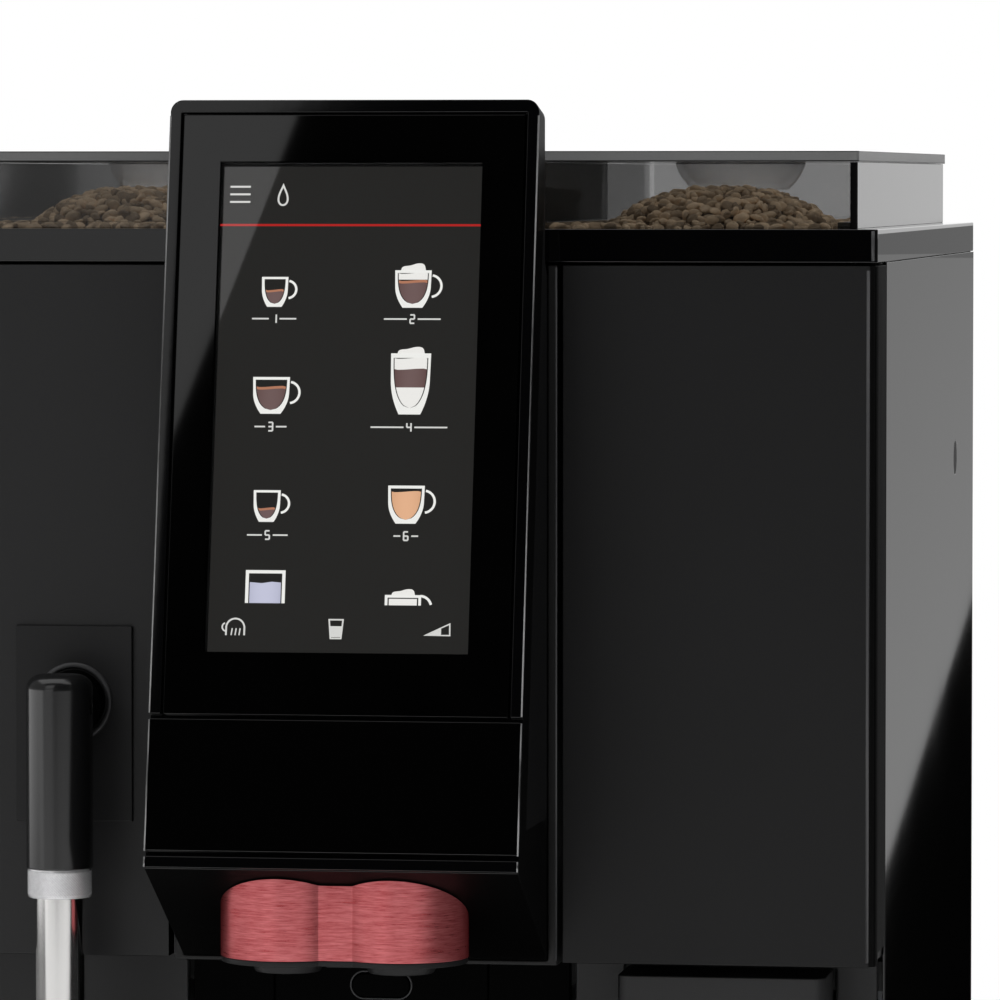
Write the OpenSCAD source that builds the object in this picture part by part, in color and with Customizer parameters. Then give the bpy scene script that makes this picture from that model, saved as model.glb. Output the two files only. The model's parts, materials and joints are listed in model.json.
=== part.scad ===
// Counter-top hot coffee machine with a leaning touch display, a height-adjustable twin
// spout, a steam wand, three hoppers, a grounds drawer and a drip tray.
// Millimetres. +Z is up, the front faces -Y, and the origin is the centre of the footprint.

/* [Body] */
// Width over the side panels
body_w = 417; // [400:1:440]
// Depth from the lower front panels to the rear edge
body_d = 428; // [415:1:450]
// How far the door stands in front of the lower front panels
face_step = 40; // [38:1:46]
// How far the drip tray reaches in front of the door
tray_reach = 105; // [100:1:120]
// Height of the levelling feet
foot_h = 40; // [34:1:60]
// Height of the base pan
pan_h = 18; // [16:1:24]
// Height of the seam between lower panels and door
split_h = 331; // [326:1:350]
// Height of the door
door_h = 282.5; // [278:0.5:300]
// Height of the gloss band round the top
band_h = 13.4; // [12:0.2:18]
// Sheet thickness of side, rear and frame panels
sheet_t = 1.2; // [1:0.1:2]
// Wall of the moulded front panels
skin_t = 2.5; // [2:0.1:3.2]
// Vertical gap between neighbouring front panels
panel_gap = 2.1; // [1.6:0.1:3]
// Horizontal seam above and below the door
seam = 1.2; // [0.8:0.1:2]
// Corner bevel of the door along the side
bevel_y = 6; // [4:0.5:8]
// Inset of the door's flat face from the side plane
bevel_x = 3.1; // [2:0.1:4]
// Diameter of a foot pad
foot_dia = 40; // [30:1:50]

/* [Column and display] */
// Width of the centre column
column_w = 158; // [156:1:166]
// Width of the column's side bars
bar_w = 3.9; // [3:0.1:5]
// Width of the display head
display_w = 150; // [146:1:154]
// Length of the display head along its slope
display_len = 310; // [300:1:330]
// Angle that the display leans back
display_lean = 11.06; // [8:0.5:13]
// How far the display's lip stands in front of the door
display_reach = 81.5; // [80:0.5:88]
// Height of the lip above the seam
chin_h = 44.8; // [43:0.2:48]
// Thickness of the display head at its top
display_t = 16; // [15:0.5:20]
// Height of the lip strip
lip_h = 4.4; // [3:0.2:6]
// Groove between lip strip and lower pane
groove_h = 2.3; // [1.5:0.1:4]
// Height of the lower pane
fascia_h = 52.6; // [45:0.2:56]
// Gap between the two panes
pane_gap = 2; // [1:0.1:3]
// Frame left of and right of the glass
border = 4.6; // [3:0.1:6]
// Frame above the glass
border_top = 5.1; // [4:0.1:8]
// Groove between the frame and the glass
glass_gap = 1.2; // [0.6:0.1:1.6]
// Rounding of the display head's upper corners
head_round = 5; // [3:0.5:8]
// Thickness of the front glass
glass_t = 3; // [2:0.1:4]
// Width of the screen's active area
lcd_w = 105.2; // [95:0.2:115]
// Height of the screen's active area
lcd_h = 196.1; // [180:0.1:205]
// Distance from the lip to the screen's lower edge
lcd_from = 86.9; // [80:0.1:90]

/* [Spout] */
// Radius of a spout lobe
lobe_r = 27; // [24:0.5:28]
// Distance between the two outlets
outlet_pitch = 46; // [44:1:50]
// Distance of the outlets in front of the door
outlet_reach = 47; // [44:0.5:50]
// Width of the flat web between the lobes
web_w = 13.5; // [10:0.5:18]
// Height of the spout's lower edge above the seam
spout_lift = 7; // [6.5:0.1:8]
// Gap between the chin and the spout's sloped top
spout_gap = 0.5; // [0.4:0.1:1.2]
// Wall of the spout cover
cover_t = 1.5; // [1:0.1:2]
// Travel of the spout
spout_travel = 105; // [80:1:110]
// Width of the spout's arm
arm_w = 15; // [12:0.5:15.4]
// Height of the spout's arm
arm_h = 9; // [7:0.5:10]
// Width of the sliding apron
apron_w = 89; // [84:1:94]
// Height of the sliding apron
apron_h = 82; // [70:1:84]
// Diameter of a guide rail
rail_dia = 8; // [6:0.5:10]
// Distance between the guide rails
rail_pitch = 60; // [54:1:66]
// Width of the oval release button
button_w = 24; // [20:0.5:26]
// Height of the oval release button
button_h = 10; // [8:0.5:12]
// Travel of the release button
button_travel = 3; // [2:0.5:3.5]
// Diameter of a beverage outlet
outlet_dia = 8; // [6:0.5:10]

/* [Steam wand] */
// Distance of the wand from the centre plane
wand_x = 120; // [117:0.5:126]
// Height of the wand's pivot above the seam
wand_lift = 104; // [98:1:110]
// Distance of the wand in front of the panel
wand_reach = 30; // [29:0.5:36]
// Diameter of the grip
grip_dia = 27; // [24:0.5:28]
// Length of the grip below the pivot
grip_len = 65; // [55:1:75]
// Length of the grip above the pivot
grip_top = 13.2; // [12:0.2:17]
// Length of the knurled ring
ring_len = 12; // [8:0.5:16]
// Diameter of the chrome tube
tube_dia = 20.4; // [16:0.2:22]
// Length of the chrome tube
tube_len = 88; // [70:1:95]
// Length of the thin steam pipe
pipe_len = 45; // [30:1:52]
// Width of the plate behind the wand
plate_w = 48.5; // [44:0.5:54]
// Height of the plate behind the wand
plate_h = 80; // [70:1:90]
// Distance of the plate's lower edge below the pivot
plate_drop = 49; // [40:1:52]
// Thickness of the plate behind the wand
plate_t = 2; // [1.5:0.1:3]

/* [Hoppers] */
// Inner side of a bean hopper, from the centre plane
hopper_x0 = 56; // [55:0.5:60]
// Distance of the bean hoppers from the side plane
hopper_side = 12.5; // [10:0.5:18]
// Height of the hopper walls above the deck
hopper_h = 27.1; // [24:0.1:34]
// Distance of the hoppers behind the lower front panels
hopper_front = 3; // [2:0.5:8]
// Distance of the hoppers from the rear edge
hopper_rear = 18; // [14:0.5:24]
// Length of the centre hopper
centre_len = 310; // [280:1:330]
// Distance of the outer lids' finger bowls behind the door
bowl_from = 235; // [220:1:260]
// How far the middle lid's bowl lies in front of the outer ones
bowl_step = 60; // [50:1:70]
// Wall of the hoppers
hopper_t = 2.5; // [2:0.1:3]
// Thickness of a lid
lid_t = 4.5; // [3:0.1:5]
// Radius of the finger bowl in a lid
bowl_r = 29; // [24:0.5:32]
// Depth of the finger bowl
bowl_d = 16; // [12:0.5:17]
// Outer radius of a hopper's neck
neck_r = 25; // [22:0.5:28]
// Height of a hopper's neck
neck_h = 18; // [14:0.5:22]
// Height of the bean heap above the deck
heap_h = 16; // [9:0.5:16]
// Width of an outer bean heap at its foot
heap_w = 96; // [80:1:104]
// Length of an outer bean heap at its foot
heap_len = 150; // [110:1:180]

/* [Grinders and brewer] */
// Distance of the grinder shelf below the deck's edge
shelf_drop = 189.7; // [186:0.1:200]
// Depth of the grinders behind the centre
grinder_y = 100; // [90:1:110]
// Radius of a grinder motor
motor_r = 42; // [38:1:46]
// Radius of a burr housing
burr_housing_r = 48; // [46:1:52]
// Height of a burr housing
burr_housing_h = 44; // [40:1:48]
// Radius of a rotating burr
burr_r = 30; // [26:0.5:34]
// Radius of a grinder shaft
shaft_r = 5; // [4:0.5:6]
// Height of the collar between burr housing and gate
collar_h = 12; // [9:0.5:14]
// Thickness of a hopper gate
gate_t = 3; // [2:0.5:4]
// Travel of a hopper gate
gate_travel = 46; // [44:1:50]
// Radius of the passage through gate and collar
passage_r = 20; // [16:0.5:21]
// Distance of the brewer from the side plane
brewer_side = 63.5; // [60:0.5:68]
// Bore radius of the brewing chamber
chamber_r = 23; // [20:0.5:26]
// Height of the brewing chamber
chamber_h = 62; // [55:1:70]
// Travel of the brewing piston
piston_travel = 40; // [30:1:45]
// Bore radius of the mixing bowl
mixer_r = 30; // [26:0.5:34]

/* [Drawer and tray] */
// Distance of the grounds drawer's front from the door's inner edge
drawer_in = 21.2; // [17:0.1:25]
// Distance of the grounds drawer's front from the side plane
drawer_side = 21.3; // [17:0.1:26]
// Distance of the drawer's top edge below the seam
drawer_drop = 5.5; // [4:0.1:8]
// How far the drawer's front stands out of the lower panel
drawer_out = 32; // [24:1:36]
// Length of the drawer's box
drawer_len = 150; // [120:1:160]
// Wall of drawer and tray
bin_t = 2.4; // [2:0.1:3]
// Height of the drip grid's top
grid_z = 140; // [130:1:144]
// Thickness of the drip grid
grid_t = 5; // [4:0.5:6]
// Width of a slot in the drip grid
slot_w = 6; // [5:0.5:7]
// Bar between two slots
slot_bar = 4.2; // [3:0.1:6]

/* [Services] */
// Radius of the coffee boiler
coffee_boiler_r = 48; // [42:1:52]
// Height of the coffee boiler's shell
coffee_boiler_h = 170; // [150:1:190]
// Radius of the steam boiler
steam_boiler_r = 60; // [54:1:66]
// Height of the steam boiler's shell
steam_boiler_h = 180; // [150:1:200]
// Distance of the boilers behind the bulkhead
boiler_back = 40; // [30:1:50]
// Wall of the boilers
boiler_t = 3; // [2:0.1:4]
// Radius of the pump motor
pump_r = 36; // [32:1:40]
// Length of the pump motor
pump_len = 110; // [90:1:130]
// Outer radius of the water inlet thread
inlet_r = 8.3; // [8:0.1:10.5]
// Outer radius of the drain spigot
drain_r = 10; // [8:0.5:12]
// Bore radius of the cord gland
gland_r = 4.5; // [4:0.1:5]
// Free length of inlet, spigot and gland below the pan
fitting_len = 16; // [12:0.5:20]
// Radius of the fan rotor
fan_r = 42; // [38:0.5:46]
// Diameter of the side lock
lock_dia = 15.5; // [14:0.5:18]
// Height of the side lock above the seam
lock_lift = 191; // [170:1:210]
// Distance of the side lock from the rear edge
lock_rear = 98; // [80:1:120]

/* [Hidden] */
$fn = 48;

// Clearances
slip = 0.3;          // between faces that move past each other
run_fit = 0.05;      // radial, between a shaft and its bore
eps = 0.01;          // overlap of cutting bodies

// Main planes
overall_d = tray_reach + face_step + body_d;
y_tray = -overall_d / 2;
y_face = y_tray + tray_reach;
y_low = y_face + face_step;
y_back = overall_d / 2;
side_x = body_w / 2;
inner_x = side_x - sheet_t;
z_pan = foot_h + pan_h;
z_split = split_h;
z_door = z_split + door_h;
z_deck0 = z_door + seam;
z_deck1 = z_deck0 + band_h;
z_low = z_split - seam / 2;
pan_floor = foot_h + sheet_t;
rear_y0 = y_back - 3.5;
rear_y1 = rear_y0 + sheet_t;

// Front panels and column
column_x = column_w / 2;
column_in = column_x - bar_w;
door_x0 = column_x + panel_gap;
shelf_z = z_deck0 - shelf_drop;
return_y = y_low - 2;
back_y0 = y_low - 4;
back_y1 = back_y0 + skin_t;
arm_slot = max(arm_w, button_w) / 2 + 1;

// Display head: slope origin at the lip's front lower edge
lip_y = y_face - display_reach;
lip_z = z_split + chin_h;
sin_l = sin(display_lean);
cos_l = cos(display_lean);
function slant(t, d) = [lip_y + t * sin_l + d * cos_l, lip_z + t * cos_l - d * sin_l];
head_back = slant(display_len, display_t);
wedge_back = y_face - 0.5;
chin_tip = z_split + 0.9;
head_x = display_w / 2;
box_x = column_in - 3;
box_z0 = z_split + 3;
box_z1 = z_door - 14;
front_wall = glass_t + 2;
pane_t0 = lip_h + groove_h;
glass_t0 = pane_t0 + fascia_h + pane_gap;
glass_t1 = display_len - border_top - glass_gap;
glass_x = head_x - border - glass_gap;
lcd_rim = 6;

// Spout: chin slope and guide parts
chin_rise = (chin_h - 0.9) / (display_reach - 0.5);
spout_y = y_face - outlet_reach;
lobe_x = outlet_pitch / 2;
web_y = sqrt(lobe_r * lobe_r - pow(lobe_x - web_w / 2, 2));
spout_z = z_split + spout_lift;
arm_z0 = z_split + 2;
arm_z1 = arm_z0 + arm_h;
floor_y0 = y_low + skin_t + 0.8;
floor_y1 = floor_y0 + skin_t;
block_y0 = floor_y1 + 4;
block_y1 = block_y0 + rail_dia + 8;
rail_y = (block_y0 + block_y1) / 2;
web_y0 = block_y1 + 9;
web_y1 = web_y0 + sheet_t;
channel_x = rail_pitch / 2 + 26;
apron_z1 = z_split - seam - 0.3;
apron_z0 = apron_z1 - apron_h;
rail_z0 = apron_z0 - spout_travel - 12;
rail_z1 = arm_z1 + 30;
button_z = z_split - 15;
tab_t = 4;
channel_z1 = shelf_z + 50;
post_w = 16;
pan_hole_r = inlet_r + 3;

// Steam wand
wand_y = y_face - wand_reach;
wand_z = z_split + wand_lift;
tongue_t = 8;
dome_r = 6;
hub_y0 = y_face - wand_reach + sqrt(pow(grip_dia / 2, 2) + pow(grip_top, 2)) + 0.6;

// Hoppers and grinders
hop_y0 = y_low + hopper_front;
hop_y1 = y_back - hopper_rear;
hopper_x1 = side_x - hopper_side;
hop_x = (hopper_x0 + hopper_x1) / 2;
lid_z = z_deck1 + hopper_h;
centre_x = hopper_x0 - 4;
rim_in = 6;
fill_in = rim_in + hopper_t + 2 * slip + 0.4;
gate_z = shelf_z + 131;
burr_z = gate_z - slip - collar_h - burr_housing_h;
duct_y = grinder_y - burr_housing_r - 30;
neck_z = gate_z + gate_t + slip;
bowl_y = y_face + bowl_from;
centre_bowl_y = bowl_y - bowl_step;
heap_y = bowl_y - 60;
centre_neck_y = web_y1 + 42;

// Inside
wall_y0 = 30;
wall_y1 = wall_y0 + 2;
bar_z1 = z_low - 1.5;
bar_z0 = bar_z1 - 12;
post_y = y_low + 22;
drawer_x0 = door_x0 + drawer_in;
drawer_x1 = side_x - drawer_side;
drawer_z1 = z_split - drawer_drop;
drawer_z0 = grid_z + 10;
box_in = 3.6;
tray_z0 = z_pan + slip;
ledge_z1 = grid_z - grid_t;
ledge_z0 = ledge_z1 - 4;
ledge_w = 2;
brewer_x = side_x - brewer_side;
brewer_y = y_low + 55;
chamber_z = drawer_z1 + 20;
hinge_x = side_x - 6.5;
hinge_y = y_low - 9;
hinge_r = 3;
fan_z = shelf_z + 66;
lock_y = y_back - lock_rear;
lock_z = z_split + lock_lift;
boiler_gap = (inner_x - steam_boiler_r - coffee_boiler_r - pump_r) / 2;
steam_boiler_x = steam_boiler_r + boiler_gap - inner_x;
coffee_boiler_x = steam_boiler_x + steam_boiler_r + boiler_gap + coffee_boiler_r;
pump_x = inner_x - boiler_gap - pump_r;
rocker_x = 58.5 - side_x;
rocker_z = z_pan + 60;

// ---- Shared shapes ----

module box(x0, x1, y0, y1, z0, z1) {
    translate([x0, y0, z0]) cube([x1 - x0, y1 - y0, z1 - z0]);
}

module rounded(x0, x1, y0, y1, r) {
    translate([x0 + r, y0]) square([x1 - x0 - 2 * r, y1 - y0]);
    translate([x0, y0 + r]) square([x1 - x0, y1 - y0 - 2 * r]);
    for (x = [x0 + r, x1 - r], y = [y0 + r, y1 - r]) translate([x, y]) circle(r);
}

module rounded_box(x0, x1, y0, y1, z0, z1, r) {
    translate([0, 0, z0]) linear_extrude(z1 - z0) rounded(x0, x1, y0, y1, r);
}

// A side profile in Y and Z, drawn out along X
module profile(x0, x1) {
    translate([x0, 0, 0]) rotate([90, 0, 90]) linear_extrude(x1 - x0) children();
}

// The leaning frame: X across, Y up the slope from the lip, Z out of the face
module on_face() {
    translate([0, lip_y, lip_z]) rotate([90 - display_lean, 0, 0]) children();
}

module along_y(x, y, z, len, r) {
    translate([x, y, z]) rotate([-90, 0, 0]) cylinder(h = len, r = r);
}

module along_x(x, y, z, len, r) {
    translate([x, y, z]) rotate([0, 90, 0]) cylinder(h = len, r = r);
}

module upright(x, y, z0, z1, r) {
    translate([x, y, z0]) cylinder(h = z1 - z0, r = r);
}

module mirror_x(left) {
    mirror([left ? 1 : 0, 0, 0]) children();
}

// ---- Base and body ----

module base_pan() {
    color("dimgray") difference() {
        rounded_box(-inner_x, inner_x, y_tray + 4, rear_y0, foot_h, z_pan, 4);
        box(-inner_x + sheet_t, inner_x - sheet_t, y_low, rear_y0 - sheet_t,
            pan_floor, z_pan + 1);
        box(-inner_x + sheet_t, inner_x - sheet_t, y_tray + 4 + sheet_t, y_low + eps,
            pan_floor, z_pan - sheet_t);
        service_places() upright(0, 0, foot_h - 1, pan_floor + 1, pan_hole_r);
    }
}

module levelling_feet() {
    color("#202020") for (x = [-1, 1], y = [y_tray + 55, y_back - 55])
        translate([x * (side_x - 45), y, 0]) rotate_extrude()
            polygon([[0, 0], [foot_dia / 2 - 2, 0], [foot_dia / 2, 2], [foot_dia / 2, 8],
                     [foot_dia / 2 - 6, 12], [9, 14], [9, foot_h - 9], [12, foot_h - 8],
                     [12, foot_h], [0, foot_h]]);
}

module chassis() {
    color("silver") difference() {
        union() {
            // bulkhead, grinder shelf and drawer shelf
            box(-inner_x, inner_x, wall_y0, wall_y1, pan_floor, shelf_z);
            box(-inner_x, inner_x, wall_y0, rear_y0, shelf_z - 2, shelf_z);
            box(drawer_x0 - 4, inner_x, floor_y1, wall_y0 + eps, drawer_z0 - 2, drawer_z0);
            mirror_x(false) chassis_side();
            mirror_x(true) chassis_side();
            // column channel web, tied to the bulkhead
            box(-channel_x, channel_x, web_y0, web_y1, pan_floor, channel_z1);
            for (z = [rail_z0 - 40, shelf_z - 2])
                box(-channel_x, channel_x, web_y0, wall_y0 + eps, z, z + 2);
            // tabs that hold the guide rails
            for (z = [rail_z0 - tab_t, rail_z1])
                box(-channel_x, channel_x, block_y0, web_y0 + eps, z, z + tab_t);
            // tab that holds the left front panel
            box(-side_x + skin_t, -inner_x + post_w, hinge_y - 8, post_y + eps,
                wand_z - 44, wand_z - 24);
        }
        rail_places() upright(0, 0, rail_z0 - 20, rail_z1 + 20, rail_dia / 2);
        // room for the side walls of the base pan
        for (s = [0, 1]) mirror_x(s == 1)
            box(inner_x - sheet_t, inner_x + 1, y_low, y_back, foot_h, z_pan);
    }
}

// Post, bar, rail and column flange on one side of the frame
module chassis_side() {
    box(inner_x - post_w, inner_x, post_y, post_y + 2, pan_floor, z_deck0);
    box(channel_x - 2, inner_x, floor_y1, post_y + eps, bar_z0, bar_z1);
    box(door_x0, inner_x, y_low + skin_t, floor_y1 + eps, bar_z0, bar_z1);
    box(inner_x - 2, inner_x, post_y, wall_y0 + eps, shelf_z - 30, shelf_z);
    box(channel_x - 2, channel_x, floor_y1, web_y1, pan_floor, z_split);
    box(channel_x - 2, channel_x, back_y1, web_y1, z_split - eps, channel_z1);
}

module rail_places() {
    for (s = [-1, 1]) translate([s * rail_pitch / 2, rail_y, 0]) children();
}

module rear_panel() {
    color("#3a3a3a") difference() {
        union() {
            box(-inner_x, inner_x, rear_y0, rear_y1, foot_h, z_deck0);
                difference() {
                along_y(0, rear_y0 - 26, fan_z, 26 + eps, fan_r + 4);
                along_y(0, rear_y0 - 27, fan_z, 28, fan_r + 1.5);
            }
            along_y(0, rear_y0 - 6, fan_z, 6 + eps, 16);
        }
        // louvres
        for (x = [-1, 1], k = [0 : 7])
            box(x * 110 - 55, x * 110 + 55, rear_y0 - 1, rear_y1 + 1,
                z_split - 150 + 14 * k, z_split - 146 + 14 * k);
        // fan grille: rings of slots
        for (a = [0 : 45 : 315], k = [0 : 2])
            along_y((fan_r - 4 - 8 * k) * cos(a + 8 * k), rear_y0 - 27,
                    fan_z + (fan_r - 4 - 8 * k) * sin(a + 8 * k), 40, 3.2);
        // rocker opening
        box(rocker_x - 7, rocker_x + 7, rear_y0 - 1, rear_y1 + 1, rocker_z - 11, rocker_z + 11);
    }
}

module side_sheet() {
    box(inner_x, side_x, y_low, y_back, foot_h + 4, z_deck0 - slip);
    // folded rear edge
    box(inner_x - 12, inner_x + eps, rear_y1, rear_y1 + sheet_t, z_pan, z_deck0 - slip);
}

module left_side_panel() {
    color("#303030") mirror_x(true) side_sheet();
}

module right_side_panel() {
    color("#303030") difference() {
        side_sheet();
        along_x(inner_x - 1, lock_y, lock_z, 5, lock_dia / 2);
    }
}

module top_cover() {
    color("#111111") difference() {
        rounded_box(-side_x, side_x, y_face, y_back, z_deck0, z_deck1, 2.5);
        // hollow under the deck
        box(-side_x + skin_t, side_x - skin_t, y_face + skin_t, y_back - skin_t,
            z_deck0 - 1, z_deck1 - skin_t);
        for (s = [0, 1]) mirror_x(s == 1)
            rounded_box(hopper_x0 + rim_in, hopper_x1 - rim_in, hop_y0 + rim_in,
                        hop_y1 - rim_in, z_deck0 - 1, z_deck1 + 1, 1);
        rounded_box(-centre_x + rim_in, centre_x - rim_in, hop_y0 + rim_in,
                    hop_y0 + centre_len - rim_in, z_deck0 - 1, z_deck1 + 1, 1);
    }
}

// ---- Front panels ----

// Plan of a front panel: flat face, bevelled corner and side return
module panel_plan() {
    polygon([[door_x0, y_face], [side_x - bevel_x, y_face], [side_x - bevel_x / 3, y_face + bevel_y / 3],
             [side_x, y_face + bevel_y], [side_x, return_y], [side_x - skin_t, return_y],
             [side_x - skin_t, y_face + bevel_y + 1], [side_x - bevel_x - 1, y_face + skin_t],
             [door_x0 + skin_t, y_face + skin_t], [door_x0 + skin_t, y_face + 20],
             [door_x0, y_face + 20]]);
}

module front_panel() {
    difference() {
        union() {
            translate([0, 0, z_split]) linear_extrude(door_h) panel_plan();
            for (z = [z_split + 5, z_door - skin_t])
                box(door_x0 + 1, side_x - bevel_x - 1, y_face + 1, y_face + 20, z, z + skin_t);
        }
        // the side return ends above the front skin
        box(side_x - bevel_x - 3, side_x + 1, y_face + bevel_y + 2, return_y + 1,
            z_split - 1, z_split + 5);
    }
}

module left_front_panel() {
    color("#242424") difference() {
        mirror_x(true) front_panel();
        along_y(-wand_x, y_face - 1, wand_z, skin_t + 2, 8);
    }
}

module right_door() {
    color("#242424") difference() {
        union() {
            front_panel();
            for (z = [z_split + 5, z_door - 14])
                box(hinge_x - 6, side_x - skin_t + eps, hinge_y - 6, hinge_y + 6, z, z + 12);
        }
        upright(hinge_x, hinge_y, z_split + 4, z_split + 20, hinge_r + run_fit);
        upright(hinge_x, hinge_y, z_door - 16, z_door + 1, hinge_r + run_fit);
    }
}

module door_hinges() {
    color("silver") {
        box(inner_x - 16, side_x - skin_t + 1, hinge_y - 7, post_y, z_split + 1, z_split + 4.4);
        upright(hinge_x, hinge_y, z_split + 4.4, z_split + 16, hinge_r);
        upright(hinge_x, hinge_y, z_door - 13, z_deck0, hinge_r);
        upright(hinge_x, hinge_y, z_door + 0.4, z_deck0, hinge_r + 2);
        box(hinge_x - 5, hinge_x + 5, hinge_y, post_y, z_door + 0.4, z_deck0);
    }
}

module column_frame() {
    color("#1a1a1a") difference() {
        union() {
            for (s = [0, 1]) mirror_x(s == 1) {
                box(column_in, column_x, y_face, back_y1, z_split - seam, z_door);
                box(arm_slot, column_x, y_face, back_y1, z_split - seam, z_split + 0.8);
            }
            box(-column_x, column_x, back_y0, back_y1, z_split - seam, z_door);
        }
        box(-arm_slot, arm_slot, back_y0 - 1, back_y1 + 1, z_split - 5, arm_z1 + 2);
    }
}

module lower_left_panel() {
    color("#242424")
        rounded_box(-side_x + bevel_x, -door_x0, y_low, y_low + skin_t, z_pan + 1, z_low, 1);
}

module lower_right_panel() {
    color("#242424") difference() {
        rounded_box(door_x0, side_x - bevel_x, y_low, y_low + skin_t, z_pan + 1, z_low, 1);
        profile(drawer_x0 - 1, drawer_x1 + 1)
            translate([y_low - 1, drawer_z0 - 3]) square([skin_t + 2, drawer_z1 - drawer_z0 + 4]);
    }
}

module splash_back() {
    apron_side = apron_w / 2 + 0.5;
    color("#1e1e1e") difference() {
        union() {
            for (s = [0, 1]) mirror_x(s == 1)
                box(apron_side, column_x - 0.4, y_low, floor_y1, z_pan + 1, z_low - 1);
            box(-apron_side - eps, apron_side + eps, floor_y0, floor_y1, z_pan + 1, z_low - 1);
        }
        box(-arm_slot, arm_slot, floor_y0 - 1, floor_y1 + 1, apron_z0 - spout_travel - 4, z_split);
    }
}

// ---- Display head ----

module display_shell() {
    color("#0c0c0c") difference() {
        union() {
            intersection() {
                profile(-head_x, head_x) polygon([
                    [lip_y, lip_z], slant(display_len, 0), head_back,
                    [head_back[0], z_door + 2], [wedge_back, z_door - 4], [wedge_back, chin_tip]]);
                // rounded upper corners
                on_face() translate([0, 0, -door_h]) linear_extrude(door_h + 1)
                    rounded(-head_x, head_x, -door_h, display_len, head_round);
            }
            box(-box_x, box_x, wedge_back - eps, back_y0, box_z0, box_z1);
        }
        profile(-box_x + skin_t, box_x - skin_t) polygon([
            slant(8, front_wall), slant(display_len - skin_t, front_wall),
            slant(display_len - skin_t, display_t - skin_t),
            [head_back[0] - skin_t, z_door], [head_back[0] - skin_t, box_z1 - skin_t],
            [back_y0 + 1, box_z1 - skin_t], [back_y0 + 1, box_z0 + skin_t],
            [wedge_back - 3.5, z_split + 6.5]]);
        // seats of both panes and the lip strip, and the screen window
        on_face() {
            translate([0, 0, -glass_t]) linear_extrude(glass_t + 1)
                rounded(-glass_x - glass_gap, glass_x + glass_gap, glass_t0 - pane_gap - 1,
                        glass_t1 + glass_gap, 0.5);
            translate([-head_x - 1, lip_h, -glass_t])
                cube([2 * head_x + 2, glass_t0 - lip_h, glass_t + 1]);
            translate([-head_x - 1, -1, -1.5]) cube([2 * head_x + 2, lip_h + 1, 4]);
            translate([-lcd_w / 2 - 1.5, lcd_from - 1.5, -front_wall - 1])
                cube([lcd_w + 3, lcd_h + 3, front_wall + 2]);
        }
        // way for the spout's arm
        box(-arm_slot, arm_slot, y_face - outlet_reach, y_low, z_split - 1, arm_z1 + 2);
    }
}

module display_glass() {
    color("black") on_face() translate([0, 0, -glass_t]) linear_extrude(glass_t)
        rounded(-glass_x, glass_x, glass_t0, glass_t1, 0.5);
}

module lower_pane() {
    color("black") on_face() translate([0, 0, -glass_t]) linear_extrude(glass_t)
        rounded(-head_x, head_x, pane_t0, pane_t0 + fascia_h, 1);
}

module lip_strip() {
    color("#303030") on_face() translate([-head_x, 0, -1.5]) cube([2 * head_x, lip_h, 1.5]);
}

module lcd_module() {
    color("#2a2a28") on_face()
        translate([-lcd_w / 2 - lcd_rim, lcd_from - lcd_rim, -front_wall - 5])
            cube([lcd_w + 2 * lcd_rim, lcd_h + 2 * lcd_rim, 5]);
}

// ---- Spout ----

module guide_rails() {
    color("silver") rail_places() upright(0, 0, rail_z0 - tab_t, rail_z1 + tab_t, rail_dia / 2);
}

// Outline of the twin spout, drawn in by a given amount
module spout_outline(inset) {
    for (s = [-1, 1]) translate([s * lobe_x, spout_y]) circle(lobe_r - inset);
    translate([-lobe_x, spout_y - web_y + inset]) square([2 * lobe_x, 2 * (web_y - inset)]);
}

// Space under the chin's slope, drawn down by a given amount
module under_chin(drop, z0) {
    profile(-head_x, head_x) polygon([
        [lip_y - 10, z0], [wedge_back + 20, z0], [wedge_back + 20, z0 + eps],
        [wedge_back - (z0 - chin_tip + drop) / chin_rise, z0],
        [lip_y - 10, chin_tip + (wedge_back - lip_y + 10) * chin_rise - drop]]);
}

module spout_cover() {
    color("#b94b50") difference() {
        intersection() {
            translate([0, 0, spout_z]) linear_extrude(chin_h) spout_outline(0);
            under_chin(spout_gap, spout_z);
        }
        intersection() {
            translate([0, 0, spout_z - 1]) linear_extrude(chin_h) spout_outline(cover_t);
            under_chin(spout_gap + cover_t * 1.2, spout_z - 1);
        }
        // rear notch for the arm
        box(-arm_w / 2 - slip, arm_w / 2 + slip, spout_y, y_face, spout_z - 1, arm_z1 + slip);
    }
}

module spout_carriage() {
    color("#161616") difference() {
        union() {
            // plate inside the cover, arm, and block on the rails
            translate([0, 0, spout_z - 2.2]) linear_extrude(2.2) spout_outline(0.4);
            for (s = [-1, 1]) upright(s * lobe_x, spout_y, spout_z - 2.2, spout_z + 6, 12);
            box(-arm_w / 2, arm_w / 2, spout_y, block_y0 + eps, arm_z0, arm_z1);
            box(-rail_pitch / 2 - 12, rail_pitch / 2 + 12, block_y0, block_y1,
                apron_z0 + 10, arm_z1);
            box(-arm_w / 2, arm_w / 2, floor_y0 - 0.8, block_y0 + eps,
                button_z + button_h / 2 + 3, arm_z1);
            box(-arm_w / 2, arm_w / 2, floor_y0 - 0.8, block_y0 + eps,
                apron_z0 + 10, apron_z0 + 34);
        }
        rail_places() upright(0, 0, apron_z0, arm_z1 + 1, rail_dia / 2 + run_fit);
        for (s = [-1, 1]) upright(s * lobe_x, spout_y, spout_z - 4, spout_z + 4, outlet_dia / 2);
    }
}

module spout_apron() {
    color("#0a0a0a") difference() {
        rounded_box(-apron_w / 2, apron_w / 2, y_low, floor_y0 - 0.8, apron_z0, apron_z1, 0.8);
        oval_body(slip, y_low - 5, y_low + 20);
    }
}

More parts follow.
